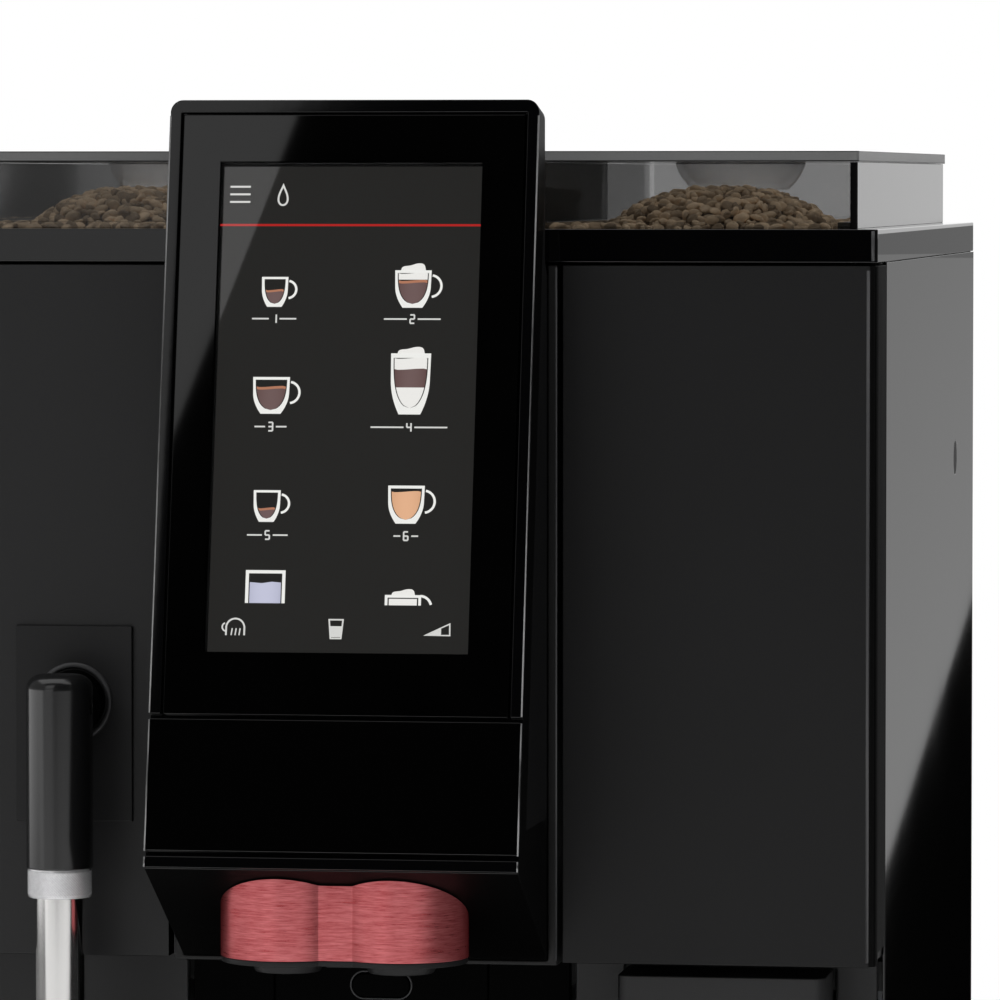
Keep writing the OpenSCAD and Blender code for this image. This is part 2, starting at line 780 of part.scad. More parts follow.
// Stadium shape of the release button, along Y
module oval_body(grow, y0, y1) {
    flat = button_w / 2 - button_h / 2;
    for (s = [-1, 1]) along_y(s * flat, y0, button_z, y1 - y0, button_h / 2 + grow);
    box(-flat, flat, y0, y1, button_z - button_h / 2 - grow, button_z + button_h / 2 + grow);
}

module release_button() {
    color("#2a2a2a") oval_body(0, y_low - 1, block_y0 - button_travel - 0.5);
}

module spout_nozzles() {
    color("#1c1c1c") for (s = [-1, 1]) translate([s * lobe_x, spout_y, 0]) rotate_extrude()
        polygon([[outlet_dia / 2, spout_z - 2.2], [15, spout_z - 2.2], [13, z_split + 0.5],
                 [outlet_dia / 2, z_split + 0.5]]);
}

// ---- Steam wand ----

module steam_plate() {
    color("#1c1c1c") difference() {
        box(-wand_x - plate_w / 2, -wand_x + plate_w / 2, y_face - plate_t, y_face,
            wand_z - plate_drop, wand_z - plate_drop + plate_h);
        along_y(-wand_x, y_face - plate_t - 1, wand_z, plate_t + 2, 6 + run_fit);
        along_y(-wand_x, y_face - plate_t - 1, wand_z, 2, 14);
    }
}

module steam_knuckle() {
    color("#333333") {
        along_y(-wand_x, hub_y0, wand_z, y_face - plate_t + 1 - slip - hub_y0, 13);
        along_y(-wand_x, hub_y0 + 1, wand_z, y_face + 12 - hub_y0, 6);
        box(-wand_x - tongue_t / 2, -wand_x + tongue_t / 2, wand_y, hub_y0 + eps,
            wand_z - 6, wand_z + 6);
        along_x(-wand_x - tongue_t / 2, wand_y, wand_z, tongue_t, 7);
        along_x(-wand_x - 11, wand_y, wand_z, 22, 3);
    }
}

module steam_grip() {
    grip_r = grip_dia / 2;
    color("#181818") difference() {
        translate([-wand_x, wand_y, 0]) rotate_extrude() {
            translate([0, wand_z - grip_len]) square([grip_r, grip_len + grip_top - dome_r]);
            translate([0, wand_z + grip_top - dome_r - eps]) square([grip_r - dome_r, dome_r + eps]);
            translate([grip_r - dome_r, wand_z + grip_top - dome_r]) intersection() {
                circle(dome_r);
                square(dome_r + 1);
            }
        }
        // slot for the knuckle's tongue, open upwards behind the dome, and bore for its pin
        profile(-wand_x - tongue_t / 2 - slip, -wand_x + tongue_t / 2 + slip)
            translate([wand_y, wand_z]) polygon([
                [-8, -9], [-8, 8.5], [0, 9], [grip_r - 7.5, 12], [grip_r - 6, grip_top + 1],
                [grip_r + 1, grip_top + 1], [grip_r + 1, -9]]);
        along_x(-wand_x - grip_r - 1, wand_y, wand_z, grip_dia + 2, 3 + run_fit);
    }
}

module steam_ring() {
    color("#c8c8c8") difference() {
        upright(-wand_x, wand_y, wand_z - grip_len - ring_len, wand_z - grip_len, grip_dia / 2);
        upright(-wand_x, wand_y, wand_z - grip_len - ring_len - 1, wand_z - grip_len + 1,
                tube_dia / 2);
    }
}

module steam_tube() {
    z1 = wand_z - grip_len;
    z0 = z1 - ring_len - tube_len;
    color("#d8d8d8") translate([-wand_x, wand_y, 0]) rotate_extrude() polygon([
        [0, z1], [tube_dia / 2, z1], [tube_dia / 2, z0 + 4], [tube_dia / 2 - 3, z0],
        [5, z0], [5, z0 - pipe_len], [6.5, z0 - pipe_len - 2], [6.5, z0 - pipe_len - 10],
        [4, z0 - pipe_len - 14], [0, z0 - pipe_len - 14]]);
}

// ---- Hoppers, lids and beans ----

// Clear container: box above the deck, funnel and round neck below it
module hopper(x0, x1, y0, y1, nx, ny, nr, nz) {
    difference() {
        union() {
            rounded_box(x0, x1, y0, y1, z_deck1, lid_z, 4);
            hull() {
                box(x0 + rim_in + slip, x1 - rim_in - slip, y0 + rim_in + slip,
                    y1 - rim_in - slip, z_deck0 - 6, z_deck1 + eps);
                upright(nx, ny, nz + neck_h, nz + neck_h + 1, nr);
            }
            upright(nx, ny, nz, nz + neck_h + 1, nr);
        }
        rounded_box(x0 + hopper_t, x1 - hopper_t, y0 + hopper_t, y1 - hopper_t,
                    z_deck1 + hopper_t, lid_z + 1, 2);
        hull() {
            box(x0 + rim_in + hopper_t + slip, x1 - rim_in - hopper_t - slip,
                y0 + rim_in + hopper_t + slip, y1 - rim_in - hopper_t - slip,
                z_deck0 - 6, z_deck1 + hopper_t + eps);
            upright(nx, ny, nz + neck_h + 2, nz + neck_h + 3, nr - hopper_t);
        }
        upright(nx, ny, nz - 1, nz + neck_h + 4, nr - hopper_t);
    }
}

// Fill of a hopper's funnel, level with the deck
module fill(x0, x1, y0, y1, nx, ny, nr, nz) {
    hull() {
        box(x0 + fill_in, x1 - fill_in, y0 + fill_in, y1 - fill_in, z_deck0 - 6, z_deck1 + 1.5);
        upright(nx, ny, nz + neck_h + 4, nz + neck_h + 5, nr - hopper_t - 1.5);
    }
}

// Rounded heap of beans in an outer hopper
module heap() {
    hull() for (k = [[1, 0], [0.74, 0.55], [0.5, 0.87], [0.32, 1]])
        translate([hop_x, heap_y, z_deck1 + 1 + (heap_h - 1.2) * k[1]])
            scale([heap_w / 2 * k[0], heap_len / 2 * k[0], 1]) cylinder(h = 0.2, r = 1, $fn = 28);
}

// Finger bowl below the lid's top: an elliptic arc cut off at the floor
module bowl(x, y, r, d) {
    translate([x, y, lid_z + lid_t]) rotate_extrude() polygon(concat(
        [[0, -d], [0, 0]], [for (k = [0:6]) [r * sqrt(1 - pow(k / 6 / 1.45, 2)), -d * k / 6]]));
}

module lid(x0, x1, y0, y1, by, br) {
    bx = (x0 + x1) / 2;
    difference() {
        union() {
            rounded_box(x0 - 0.7, x1 + 0.7, y0 - 0.7, y1 + 0.7, lid_z + slip / 3,
                        lid_z + lid_t, 3);
            bowl(bx, by, br, bowl_d);
        }
        translate([0, 0, eps]) bowl(bx, by, br - 2.5, bowl_d - 2.5);
    }
}

module left_hopper() {
    color("#b8b8b0", 0.4) mirror_x(true)
        hopper(hopper_x0, hopper_x1, hop_y0, hop_y1, hop_x, grinder_y, neck_r, neck_z);
}

module right_hopper() {
    color("#b8b8b0", 0.4)
        hopper(hopper_x0, hopper_x1, hop_y0, hop_y1, hop_x, grinder_y, neck_r, neck_z);
}

module centre_hopper() {
    color("#606060", 0.5)
        hopper(-centre_x, centre_x, hop_y0, hop_y0 + centre_len, 0, centre_neck_y, 18,
               neck_z - 20);
}

module left_lid() {
    color("#707070", 0.6) mirror_x(true)
        lid(hopper_x0, hopper_x1, hop_y0, hop_y1, bowl_y, bowl_r);
}

module right_lid() {
    color("#707070", 0.6) lid(hopper_x0, hopper_x1, hop_y0, hop_y1, bowl_y, bowl_r);
}

module centre_lid() {
    color("#404040", 0.7)
        lid(-centre_x, centre_x, hop_y0, hop_y0 + centre_len, centre_bowl_y, bowl_r * 0.8);
}

module left_beans() {
    color("#a08060") mirror_x(true) {
        fill(hopper_x0, hopper_x1, hop_y0, hop_y1, hop_x, grinder_y, neck_r, neck_z);
        heap();
    }
}

module right_beans() {
    color("#a08060") {
        fill(hopper_x0, hopper_x1, hop_y0, hop_y1, hop_x, grinder_y, neck_r, neck_z);
        heap();
    }
}

module centre_beans() {
    foot = centre_x - fill_in;
    back = hop_y0 + centre_len - fill_in;
    color("#201410") {
        fill(-centre_x, centre_x, hop_y0, hop_y0 + centre_len, 0, centre_neck_y, 18, neck_z - 20);
        // level heap up to the walls
        hull() {
            box(-foot, foot, hop_y0 + fill_in, back, z_deck1 + 1, z_deck1 + 1.5);
            box(-foot + 4, foot - 4, hop_y0 + fill_in + 12, back - 12, z_deck1 + 2,
                z_deck1 + heap_h - 2);
        }
    }
}

// ---- Grinders ----

module gate() {
    difference() {
        box(hop_x - passage_r - 5, hop_x + passage_r + 5, grinder_y - passage_r - 5,
            grinder_y + passage_r + gate_travel + 6, gate_z, gate_z + gate_t);
        upright(hop_x, grinder_y, gate_z - 1, gate_z + gate_t + 1, passage_r);
    }
    // pull tab at the front end
    box(hop_x - 8, hop_x + 8, grinder_y - passage_r - 17, grinder_y - passage_r - 5 + eps,
        gate_z, gate_z + gate_t);
}

module left_gate() {
    color("#d0d0d0") mirror_x(true) gate();
}

module right_gate() {
    color("#d0d0d0") gate();
}

module grinder() {
    difference() {
        union() {
            upright(hop_x, grinder_y, shelf_z, burr_z + eps, motor_r);
            upright(hop_x, grinder_y, burr_z, burr_z + burr_housing_h, burr_housing_r);
            // collar that carries the gate
            upright(hop_x, grinder_y, burr_z + burr_housing_h - 1, gate_z - slip, passage_r + 6);
            // outlet duct towards the brewer
            box(hop_x - 12, hop_x + 12, duct_y, grinder_y, burr_z + 4, burr_z + 26);
        }
        upright(hop_x, grinder_y, burr_z + 6, burr_z + burr_housing_h - 6, burr_r + 3);
        upright(hop_x, grinder_y, burr_z + 5, gate_z + 1, passage_r);
        box(hop_x - 9, hop_x + 9, duct_y - 1, grinder_y, burr_z + 7, burr_z + 23);
    }
    // motor shaft
    upright(hop_x, grinder_y, burr_z + 5 - eps, burr_z + burr_housing_h * 0.68, shaft_r);
}

module burr() {
    z0 = burr_z + 8;
    z1 = burr_z + burr_housing_h * 0.73;
    difference() {
        translate([hop_x, grinder_y, 0]) rotate_extrude() polygon([
            [shaft_r + run_fit, z0], [burr_r, z0], [burr_r, z0 + burr_r * 0.2],
            [burr_r * 0.47, z1], [shaft_r + run_fit, z1]]);
        // teeth
        for (a = [0 : 30 : 330]) translate([hop_x, grinder_y, 0]) rotate([0, 0, a])
            box(burr_r * 0.83, burr_r + 1, -1.2, 1.2, z0 - 1, z0 + burr_r * 0.4);
    }
}

module left_grinder() {
    color("#8a8a8a") mirror_x(true) grinder();
}

module right_grinder() {
    color("#8a8a8a") grinder();
}

module left_burr() {
    color("#c0c0c0") mirror_x(true) burr();
}

module right_burr() {
    color("#c0c0c0") burr();
}

// ---- Mixer and brewer ----

module mixer_bowl() {
    bowl_z = shelf_z + 30;
    color("#d8d8d0") {
        translate([0, centre_neck_y, 0]) rotate_extrude() polygon([
            [4 + run_fit, bowl_z], [mixer_r * 0.5, bowl_z], [mixer_r + 3, bowl_z + 22],
            [mixer_r + 3, bowl_z + 60], [mixer_r, bowl_z + 60], [mixer_r, bowl_z + 23],
            [mixer_r * 0.5 - 2, bowl_z + 4], [4 + run_fit, bowl_z + 4]]);
        // bracket on the column channel
        box(-12, 12, web_y1, centre_neck_y - mixer_r - 1, bowl_z + 30, bowl_z + 50);
    }
}

module whisk() {
    bowl_z = shelf_z + 30;
    color("#b0b0b0") {
        upright(0, centre_neck_y, shelf_z + slip, bowl_z + 10, 4);
        upright(0, centre_neck_y, bowl_z + 10 - eps, bowl_z + 14, mixer_r * 0.5);
        for (a = [0 : 60 : 300]) translate([0, centre_neck_y, 0]) rotate([0, 0, a])
            box(mixer_r * 0.25, mixer_r * 0.45, -0.8, 0.8, bowl_z + 14 - eps, bowl_z + 22);
    }
}

module brewer() {
    top_z = chamber_z + chamber_h + piston_travel + 6;
    color("#9a9a9a") difference() {
        union() {
            upright(brewer_x, brewer_y, chamber_z, chamber_z + chamber_h, chamber_r + 6);
            for (s = [-1, 1])
                box(brewer_x + s * (chamber_r + 4) - 3, brewer_x + s * (chamber_r + 4) + 3,
                    brewer_y, wall_y0, chamber_z, top_z + 10);
            box(brewer_x - chamber_r - 7, brewer_x + chamber_r + 7, brewer_y - 14,
                brewer_y + 30, top_z, top_z + 10);
        }
        upright(brewer_x, brewer_y, chamber_z + 6, chamber_z + chamber_h + 1, chamber_r);
        upright(brewer_x, brewer_y, top_z - 1, top_z + 11, 8 + run_fit);
    }
}

module brew_piston() {
    color("#d8c070") {
        upright(brewer_x, brewer_y, chamber_z + chamber_h - 12, chamber_z + chamber_h + 2,
                chamber_r - 0.08);
        upright(brewer_x, brewer_y, chamber_z + chamber_h + 2 - eps,
                chamber_z + chamber_h + piston_travel + 34, 8);
    }
}

// ---- Drawer and tray ----

module grounds_drawer() {
    front_y = y_low - drawer_out;
    color("#1c1c1c") difference() {
        union() {
            rounded_box(drawer_x0, drawer_x1, front_y, y_low + skin_t + 3, drawer_z0 + slip,
                        drawer_z1, 5);
            box(drawer_x0 + box_in, drawer_x1 - box_in, y_low - 2, y_low + drawer_len,
                drawer_z0 + slip, bar_z0 - 2);
        }
        box(drawer_x0 + box_in + bin_t, drawer_x1 - box_in - bin_t, y_low + skin_t + 5.5,
            y_low + drawer_len - bin_t, drawer_z0 + slip + bin_t, drawer_z1 + 1);
        // finger grip in the front's underside
        box(drawer_x0 + 20, drawer_x1 - 20, front_y + 6, front_y + 20, drawer_z0 - 1,
            drawer_z0 + 14);
        box(drawer_x0 - 1, drawer_x1 + 1, y_low + skin_t, y_low + skin_t + 4,
            bar_z0 - 2, drawer_z1 + 1);
    }
}

module drip_tray() {
    tray_x = inner_x - 3;
    color("#1c1c1c") difference() {
        rounded_box(-tray_x, tray_x, y_tray, y_low - 1.5, tray_z0, grid_z, 12);
        rounded_box(-tray_x + bin_t, tray_x - bin_t, y_tray + bin_t, y_low - 1.5 - bin_t,
                    tray_z0 + bin_t, ledge_z0, 10);
        // a narrower mouth leaves the ledge that carries the grid
        rounded_box(-tray_x + bin_t + ledge_w, tray_x - bin_t - ledge_w,
                    y_tray + bin_t + ledge_w, y_low - 1.5 - bin_t - ledge_w,
                    tray_z0 + 2 * bin_t, grid_z + 1, 8);
        rounded_box(-tray_x + bin_t, tray_x - bin_t, y_tray + bin_t, y_low - 1.5 - bin_t,
                    ledge_z1, grid_z + 1, 10);
    }
}

module drip_grid() {
    gx = inner_x - 3 - bin_t - slip;
    y0 = y_tray + bin_t + slip;
    y1 = y_low - 1.5 - bin_t - slip;
    pitch = slot_w + slot_bar;
    n = floor((2 * gx - 24) / pitch);
    mid = (y0 + y1) / 2;
    color("#8c8c8c") translate([0, 0, grid_z - grid_t]) linear_extrude(grid_t) difference() {
        rounded(-gx, gx, y0, y1, 9);
        for (k = [0 : n - 1], s = [0, 1])
            translate([(k - (n - 1) / 2) * pitch - slot_w / 2,
                       s == 0 ? y0 + 12 : mid + 4])
                square([slot_w, mid - y0 - 16]);
    }
}

// ---- Services ----

// Solid of revolution with domed ends; its cylinder is h high
module bottle(r, h) {
    cap = r * 0.4;
    rotate_extrude() polygon([
        [0, 0], [r * 0.6, cap * 0.2], [r * 0.9, cap * 0.6], [r, cap], [r, cap + h],
        [r * 0.9, 1.4 * cap + h], [r * 0.6, 1.8 * cap + h], [0, 2 * cap + h]]);
}

// Hollow boiler on four legs, with a water port and a shorter steam port
module vessel(x, y, r, h, z) {
    cap = r * 0.4;
    top = 2 * cap + h;
    for (a = [45 : 90 : 315])
        upright(x + (r - 8) * cos(a), y + (r - 8) * sin(a), pan_floor, z + cap * 0.9, 4);
    translate([x, y, z]) difference() {
        union() {
            bottle(r, h);
            upright(0, 0, top - 2, top + 10, 6);
            upright(r * 0.45, 0, 1.5 * cap + h, top + 8, 5);
        }
        translate([0, 0, boiler_t]) bottle(r - boiler_t, h - boiler_t);
        upright(0, 0, cap + h, top + 11, 3);
        upright(r * 0.45, 0, cap + h, top + 9, 2.5);
    }
}

module coffee_boiler() {
    color("#c8a050") vessel(coffee_boiler_x, wall_y1 + coffee_boiler_r + boiler_back,
                            coffee_boiler_r, coffee_boiler_h, z_pan + 20);
}

module steam_boiler() {
    color("#b87333") vessel(steam_boiler_x, wall_y1 + steam_boiler_r + boiler_back,
                            steam_boiler_r, steam_boiler_h, z_pan + 10);
}

module water_pump() {
    py = wall_y1 + boiler_back;
    pz = z_pan + pump_r + 8;
    head_y = py + pump_len + pump_r * 0.4;
    color("#707880") {
        along_y(pump_x, py, pz, pump_len, pump_r);
        along_y(pump_x, py + pump_len - eps, pz, pump_r * 0.4, pump_r / 2);
        along_y(pump_x, head_y - eps, pz, pump_r, pump_r * 0.67);
        box(pump_x - pump_r * 0.8, pump_x + pump_r * 0.8, py + pump_len * 0.1,
            py + pump_len * 0.9, pan_floor, pz - pump_r * 0.8);
    }
}

module control_board() {
    color("#1f6b3a") {
        box(-170, -20, wall_y1 + 8, wall_y1 + 9.6, z_split - 40, z_split + 60);
        for (x = [-165, -25], z = [z_split - 35, z_split + 55])
            along_y(x, wall_y1, z, 8 + eps, 3);
        for (k = [0 : 4])
            box(-160 + 26 * k, -144 + 26 * k, wall_y1 + 9.6 - eps, wall_y1 + 22,
                z_split - 20 + 8 * k, z_split + 4 + 8 * k);
    }
}

module service_places() {
    for (x = [-60, 0, 60]) translate([x, y_back - 60, 0]) children();
}

module service_fittings() {
    z0 = foot_h - fitting_len;
    color("#c8b070") {
        translate([-60, y_back - 60, 0]) fitting(z0, inlet_r, inlet_r - 3);
        translate([0, y_back - 60, 0]) fitting(z0, drain_r, drain_r - 2.5);
        translate([60, y_back - 60, 0]) fitting(z0, gland_r + 4, gland_r);
    }
}

// Hollow fitting with a collar that closes the pan's hole from below
module fitting(z0, r, bore) {
    rotate_extrude() polygon([
        [bore, z0], [r, z0], [r, foot_h - 3], [pan_hole_r + 3, foot_h - 3],
        [pan_hole_r + 3, foot_h], [pan_hole_r - 0.5, foot_h],
        [pan_hole_r - 0.5, pan_floor + 8], [bore, pan_floor + 8]]);
}

module fan_rotor() {
    color("#202020") {
        along_y(0, rear_y0 - 24, fan_z, 24 - 6 - slip, 16);
        for (a = [0 : 40 : 320]) translate([0, rear_y0 - 15, fan_z]) rotate([0, a, 0])
            rotate([35, 0, 0]) translate([14, -1, -8]) cube([fan_r - 15, 2, 16]);
    }
}

module side_lock() {
    color("#404040") {
        along_x(side_x - 24, lock_y, lock_z, 24, lock_dia / 2 - run_fit);
        along_x(side_x - 24 - 3 + eps, lock_y, lock_z, 3, 9);
        box(side_x - 27, side_x - 24 + eps, lock_y - 5, lock_y + 5, lock_z - 26, lock_z);
    }
}

module power_rocker() {
    color("#101010") profile(rocker_x - 6.6, rocker_x + 6.6) polygon([
        [rear_y0 - 8, rocker_z - 6], [rear_y1 + 0.4, rocker_z - 10.4], [rear_y1 + 1.4, rocker_z - 10.4],
        [rear_y1 + 0.2, rocker_z], [rear_y1 + 1.9, rocker_z + 10.4], [rear_y1 + 0.4, rocker_z + 10.4],
        [rear_y0 - 8, rocker_z + 6]]);
}

base_pan();
levelling_feet();
chassis();
rear_panel();
left_side_panel();
right_side_panel();
top_cover();
left_front_panel();
right_door();
door_hinges();
column_frame();
lower_left_panel();
lower_right_panel();
splash_back();
display_shell();
display_glass();
lower_pane();
lip_strip();
lcd_module();
guide_rails();
spout_carriage();
spout_apron();
release_button();
spout_cover();
spout_nozzles();
steam_plate();
steam_knuckle();
steam_grip();
steam_ring();
steam_tube();
left_hopper();
right_hopper();
centre_hopper();
left_lid();
right_lid();
centre_lid();
left_beans();
right_beans();
centre_beans();
left_gate();
right_gate();
left_grinder();
right_grinder();
left_burr();
right_burr();
mixer_bowl();
whisk();
brewer();
brew_piston();
grounds_drawer();
drip_tray();
drip_grid();
coffee_boiler();
steam_boiler();
water_pump();
control_board();
service_fittings();
fan_rotor();
side_lock();
power_rocker();
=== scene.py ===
"""Looks of the counter-top hot coffee machine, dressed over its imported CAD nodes.

Metres in the frame of the CAD model: +Z up, the front faces -Y, the origin under the middle.
"""

import json
import math

import bmesh
import bpy
import numpy as np
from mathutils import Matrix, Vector


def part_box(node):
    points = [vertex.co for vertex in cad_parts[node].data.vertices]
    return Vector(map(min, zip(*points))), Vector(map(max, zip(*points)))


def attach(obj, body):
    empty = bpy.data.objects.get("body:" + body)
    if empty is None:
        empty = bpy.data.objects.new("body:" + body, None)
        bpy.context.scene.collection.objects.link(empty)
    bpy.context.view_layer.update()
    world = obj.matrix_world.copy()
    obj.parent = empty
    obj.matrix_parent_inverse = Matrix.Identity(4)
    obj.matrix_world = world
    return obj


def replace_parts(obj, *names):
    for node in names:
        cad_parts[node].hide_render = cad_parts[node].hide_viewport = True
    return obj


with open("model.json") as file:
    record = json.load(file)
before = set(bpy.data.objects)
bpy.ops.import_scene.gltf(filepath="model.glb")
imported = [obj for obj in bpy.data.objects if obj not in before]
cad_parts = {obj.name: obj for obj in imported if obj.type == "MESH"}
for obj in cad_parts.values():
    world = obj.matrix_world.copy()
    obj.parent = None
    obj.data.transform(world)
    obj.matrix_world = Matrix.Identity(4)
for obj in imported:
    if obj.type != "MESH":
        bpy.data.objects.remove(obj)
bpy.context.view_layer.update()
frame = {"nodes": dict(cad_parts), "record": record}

MM = 0.001
NODES = frame["nodes"]
BODY_OF = {n: body for body, names in frame["record"]["behaviour"]["bodies"].items() for n in names}

# The display leans back about its lip, the lower front corner of the head.
LEAN = math.radians(11.06)
LIP_Y, LIP_Z = -0.263, 0.3758


# ---- Shader maths ----

def operator(operation, reflected=False):
    """A method that adds a Math node; a reflected one takes its own value last."""
    def method(self, *others):
        values = (*others, self) if reflected else (self, *others)
        return self.graph.node("ShaderNodeMath", {"operation": operation}, dict(enumerate(values)))
    return method


class Value:
    """An output socket with arithmetic: every operator adds the Math node that works it out."""

    def __init__(self, graph, socket):
        self.graph, self.socket = graph, socket

    __add__, __radd__ = operator("ADD"), operator("ADD", True)
    __sub__, __rsub__ = operator("SUBTRACT"), operator("SUBTRACT", True)
    __mul__, __rmul__ = operator("MULTIPLY"), operator("MULTIPLY", True)
    __pow__, __rpow__ = operator("POWER"), operator("POWER", True)
    __gt__, __lt__ = operator("GREATER_THAN"), operator("LESS_THAN")
    at_most, at_least = operator("MINIMUM"), operator("MAXIMUM")
    __abs__, sine = operator("ABSOLUTE"), operator("SINE")


class Graph:
    """A node tree, to which nodes are added one by one."""

    def __init__(self, tree):
        self.tree = tree

    def node(self, kind, settings=None, sockets=None, output=0):
        """Adds a node: first its settings, a ramp's stops among them, then its sockets' values or
        links. Gives its output, a list of them where output is a list, or none."""
        made = self.tree.nodes.new(kind)
        for key, value in (settings or {}).items():
            if key == "stops":
                self.set_stops(made.color_ramp, value)
            else:
                setattr(made, key, value)
        for key, value in (sockets or {}).items():
            self.set_socket(made.inputs[key], value)
        if isinstance(output, list):
            return [Value(self, made.outputs[name]) for name in output]
        return None if output is None else Value(self, made.outputs[output])

    def set_stops(self, ramp, stops):
        """Stops are pairs of a place from 0 to 1 and a colour."""
        while len(ramp.elements) < len(stops):
            ramp.elements.new(1)
        for element, (place, colour) in zip(ramp.elements, stops):
            element.position, element.color = place, (*colour, 1)

    def set_socket(self, socket, value):
        """Links a value to an input socket, or sets it."""
        if isinstance(value, Value):
            self.tree.links.new(value.socket, socket)
        elif socket.type == "RGBA" and len(value) == 3:
            socket.default_value = (*value, 1)
        else:
            socket.default_value = value

    def place(self):
        """Object coordinates: metres in the frame of the machine."""
        return self.node("ShaderNodeTexCoord", output="Object")

    def axes(self):
        """X, Y and Z of the place, one value each."""
        return self.node("ShaderNodeSeparateXYZ", {}, {0: self.place()}, ["X", "Y", "Z"])

    def stretched(self, x, y, z):
        """The place times a number on each axis."""
        return self.node("ShaderNodeVectorMath", {"operation": "MULTIPLY"},
                         {0: self.place(), 1: (x, y, z)})

    def noise(self, scale, detail, vector=None, rough=0.5):
        """Cloudy pattern from 0 to 1; scale counts its lumps in a metre."""
        return self.node("ShaderNodeTexNoise", {}, {
            "Vector": vector or self.place(), "Scale": scale, "Detail": detail, "Roughness": rough})

    def blend(self, factor, low, high):
        """A colour between low and high."""
        return self.node("ShaderNodeMix", {"data_type": "RGBA"}, {0: factor, 6: low, 7: high}, 2)

    def ramp(self, factor, stops):
        """A colour along a ramp."""
        return self.node("ShaderNodeValToRGB", {"stops": stops}, {0: factor})

    def turned_away(self):
        """0 where a face meets the eye squarely, 1 at a grazing slant."""
        return self.node("ShaderNodeLayerWeight", {}, {"Blend": 0.5}, "Facing")

    def backdrop_rays(self):
        """1 for rays from the camera, a mirror image or a clear piece, 0 for soft light."""
        camera, glossy, through = self.node("ShaderNodeLightPath", output=[
            "Is Camera Ray", "Is Glossy Ray", "Is Transmission Ray"])
        return camera.at_least(glossy).at_least(through)


class Finish(Graph):
    """A material in the making: a Principled shader and the nodes that feed it."""

    def __init__(self, name, **constants):
        """Constants are set on the shader's own sockets; underscores stand for spaces."""
        self.material = bpy.data.materials.new(name)
        self.material.use_nodes = True
        super().__init__(self.material.node_tree)
        self.shader = self.tree.nodes["Principled BSDF"]
        for socket, value in constants.items():
            self.feed(socket.replace("_", " "), value)

    def feed(self, socket, value):
        """Sets or links one socket of the shader."""
        self.set_socket(self.shader.inputs[socket], value)
        return self

    def look(self, colour, roughness):
        """Colour and roughness."""
        return self.feed("Base Color", colour).feed("Roughness", roughness)

    def bump(self, height, depth):
        """Relief of the given depth in millimetres where height goes from 0 to 1."""
        return self.feed("Normal", self.node("ShaderNodeBump", {}, {
            "Height": height, "Distance": depth * MM, "Strength": 1.0}))

    def shine_through(self, factor, shader):
        """Mixes another shader over the whole surface by a factor."""
        own = Value(self, self.shader.outputs[0])
        mix = self.node("ShaderNodeMixShader", {}, {0: factor, 1: own, 2: shader})
        self.tree.links.new(mix.socket, self.tree.nodes["Material Output"].inputs["Surface"])


def grey(level):
    """A neutral colour."""
    return (level,) * 3


def shade(colour, factor):
    """A colour made lighter or darker."""
    return tuple(min(1.0, c * factor) for c in colour)


# ---- Finishes ----

SHEET_FRONT_Y = -0.122       # the sheet frame is black in front of this, as painted shade in the panel gaps
CORNER_BAND_REACH = 0.0028          # half the width of a clear hopper's black corner band
CUP_COLUMNS = (-0.0308, 0.0254)   # X of the two columns of cups on the screen
CUP_FADE = 130               # one over the reach of the light in their middle
RASTER = 4200                # the screen's raster, in radians to the metre
BOWL_TOP_Z = 0.6548          # a lid's bowl is milky up to here
LID_EDGE_Z = (0.6559, 0.6593)     # the flat edge of a lid's rim
KEY_Y, KEY_Z = 0.1885, 0.522      # the middle of the lock's face


def fine_grain(name, colour, roughness, depth=0.04, specular=0.3, part=None,
               part_colour=grey(0.0006)):
    """Matt moulding or textured paint: a fine grain in relief over faint cloudy patches. A part
    gives 1 from X, Y and Z where the part colour shows; the near-black default stands for painted
    shade, and the rocker's part colour is its printed marks."""
    f = Finish(name, Specular_IOR_Level=specular)
    grain = f.noise(1500, 2)
    patches = f.noise(14, 3)
    tone = f.blend(patches * 0.7 + grain * 0.3, shade(colour, 0.7), shade(colour, 1.3))
    if part:
        tone = f.blend(part(*f.axes()), tone, part_colour)
    f.look(tone, grain * 0.14 + (roughness - 0.07))
    return f.bump(grain, depth).material


def polished(name, colour, roughness, specular=0.5, peel=0.004):
    """Polished dark moulding or paint with a faint orange peel and duller patches."""
    f = Finish(name, Specular_IOR_Level=specular)
    patches = f.noise(9, 3)
    f.look(f.blend(patches, shade(colour, 0.8), shade(colour, 1.2)), patches * 0.02 + roughness)
    return f.bump(f.noise(160, 1), peel).material


def brushed_metal(name, low, high, stretch, roughness, depth, metallic=1.0):
    """Brushed metal: streaks along the brushing, in colour, shine and relief."""
    f = Finish(name, Metallic=metallic)
    fine = f.noise(1, 3, f.stretched(*stretch), 0.65)
    broad = f.noise(1, 1, f.stretched(*(s * 0.22 for s in stretch)))
    streaks = fine * 0.7 + broad * 0.3
    f.look(f.ramp(streaks, [(0.32, low), (0.68, high)]), streaks * 0.22 + (roughness - 0.11))
    return f.bump(fine, depth).material


def bright_metal(name, colour, roughness):
    """Polished metal with a faint haze in patches."""
    f = Finish(name, Metallic=1.0)
    haze = f.noise(45, 3)
    f.look(f.blend(haze, shade(colour, 0.94), shade(colour, 1.04)), haze * 0.06 + roughness)
    return f.bump(f.noise(500, 1), 0.002).material


def cast_metal(name, colour):
    """Die-cast alloy: coarse pitted skin and dull patches."""
    f = Finish(name, Metallic=0.85)
    skin = f.noise(700, 4, rough=0.7)
    patches = f.noise(22, 2)
    f.look(f.blend(patches, shade(colour, 0.75), shade(colour, 1.15)), skin * 0.25 + 0.35)
    return f.bump(skin, 0.08).material


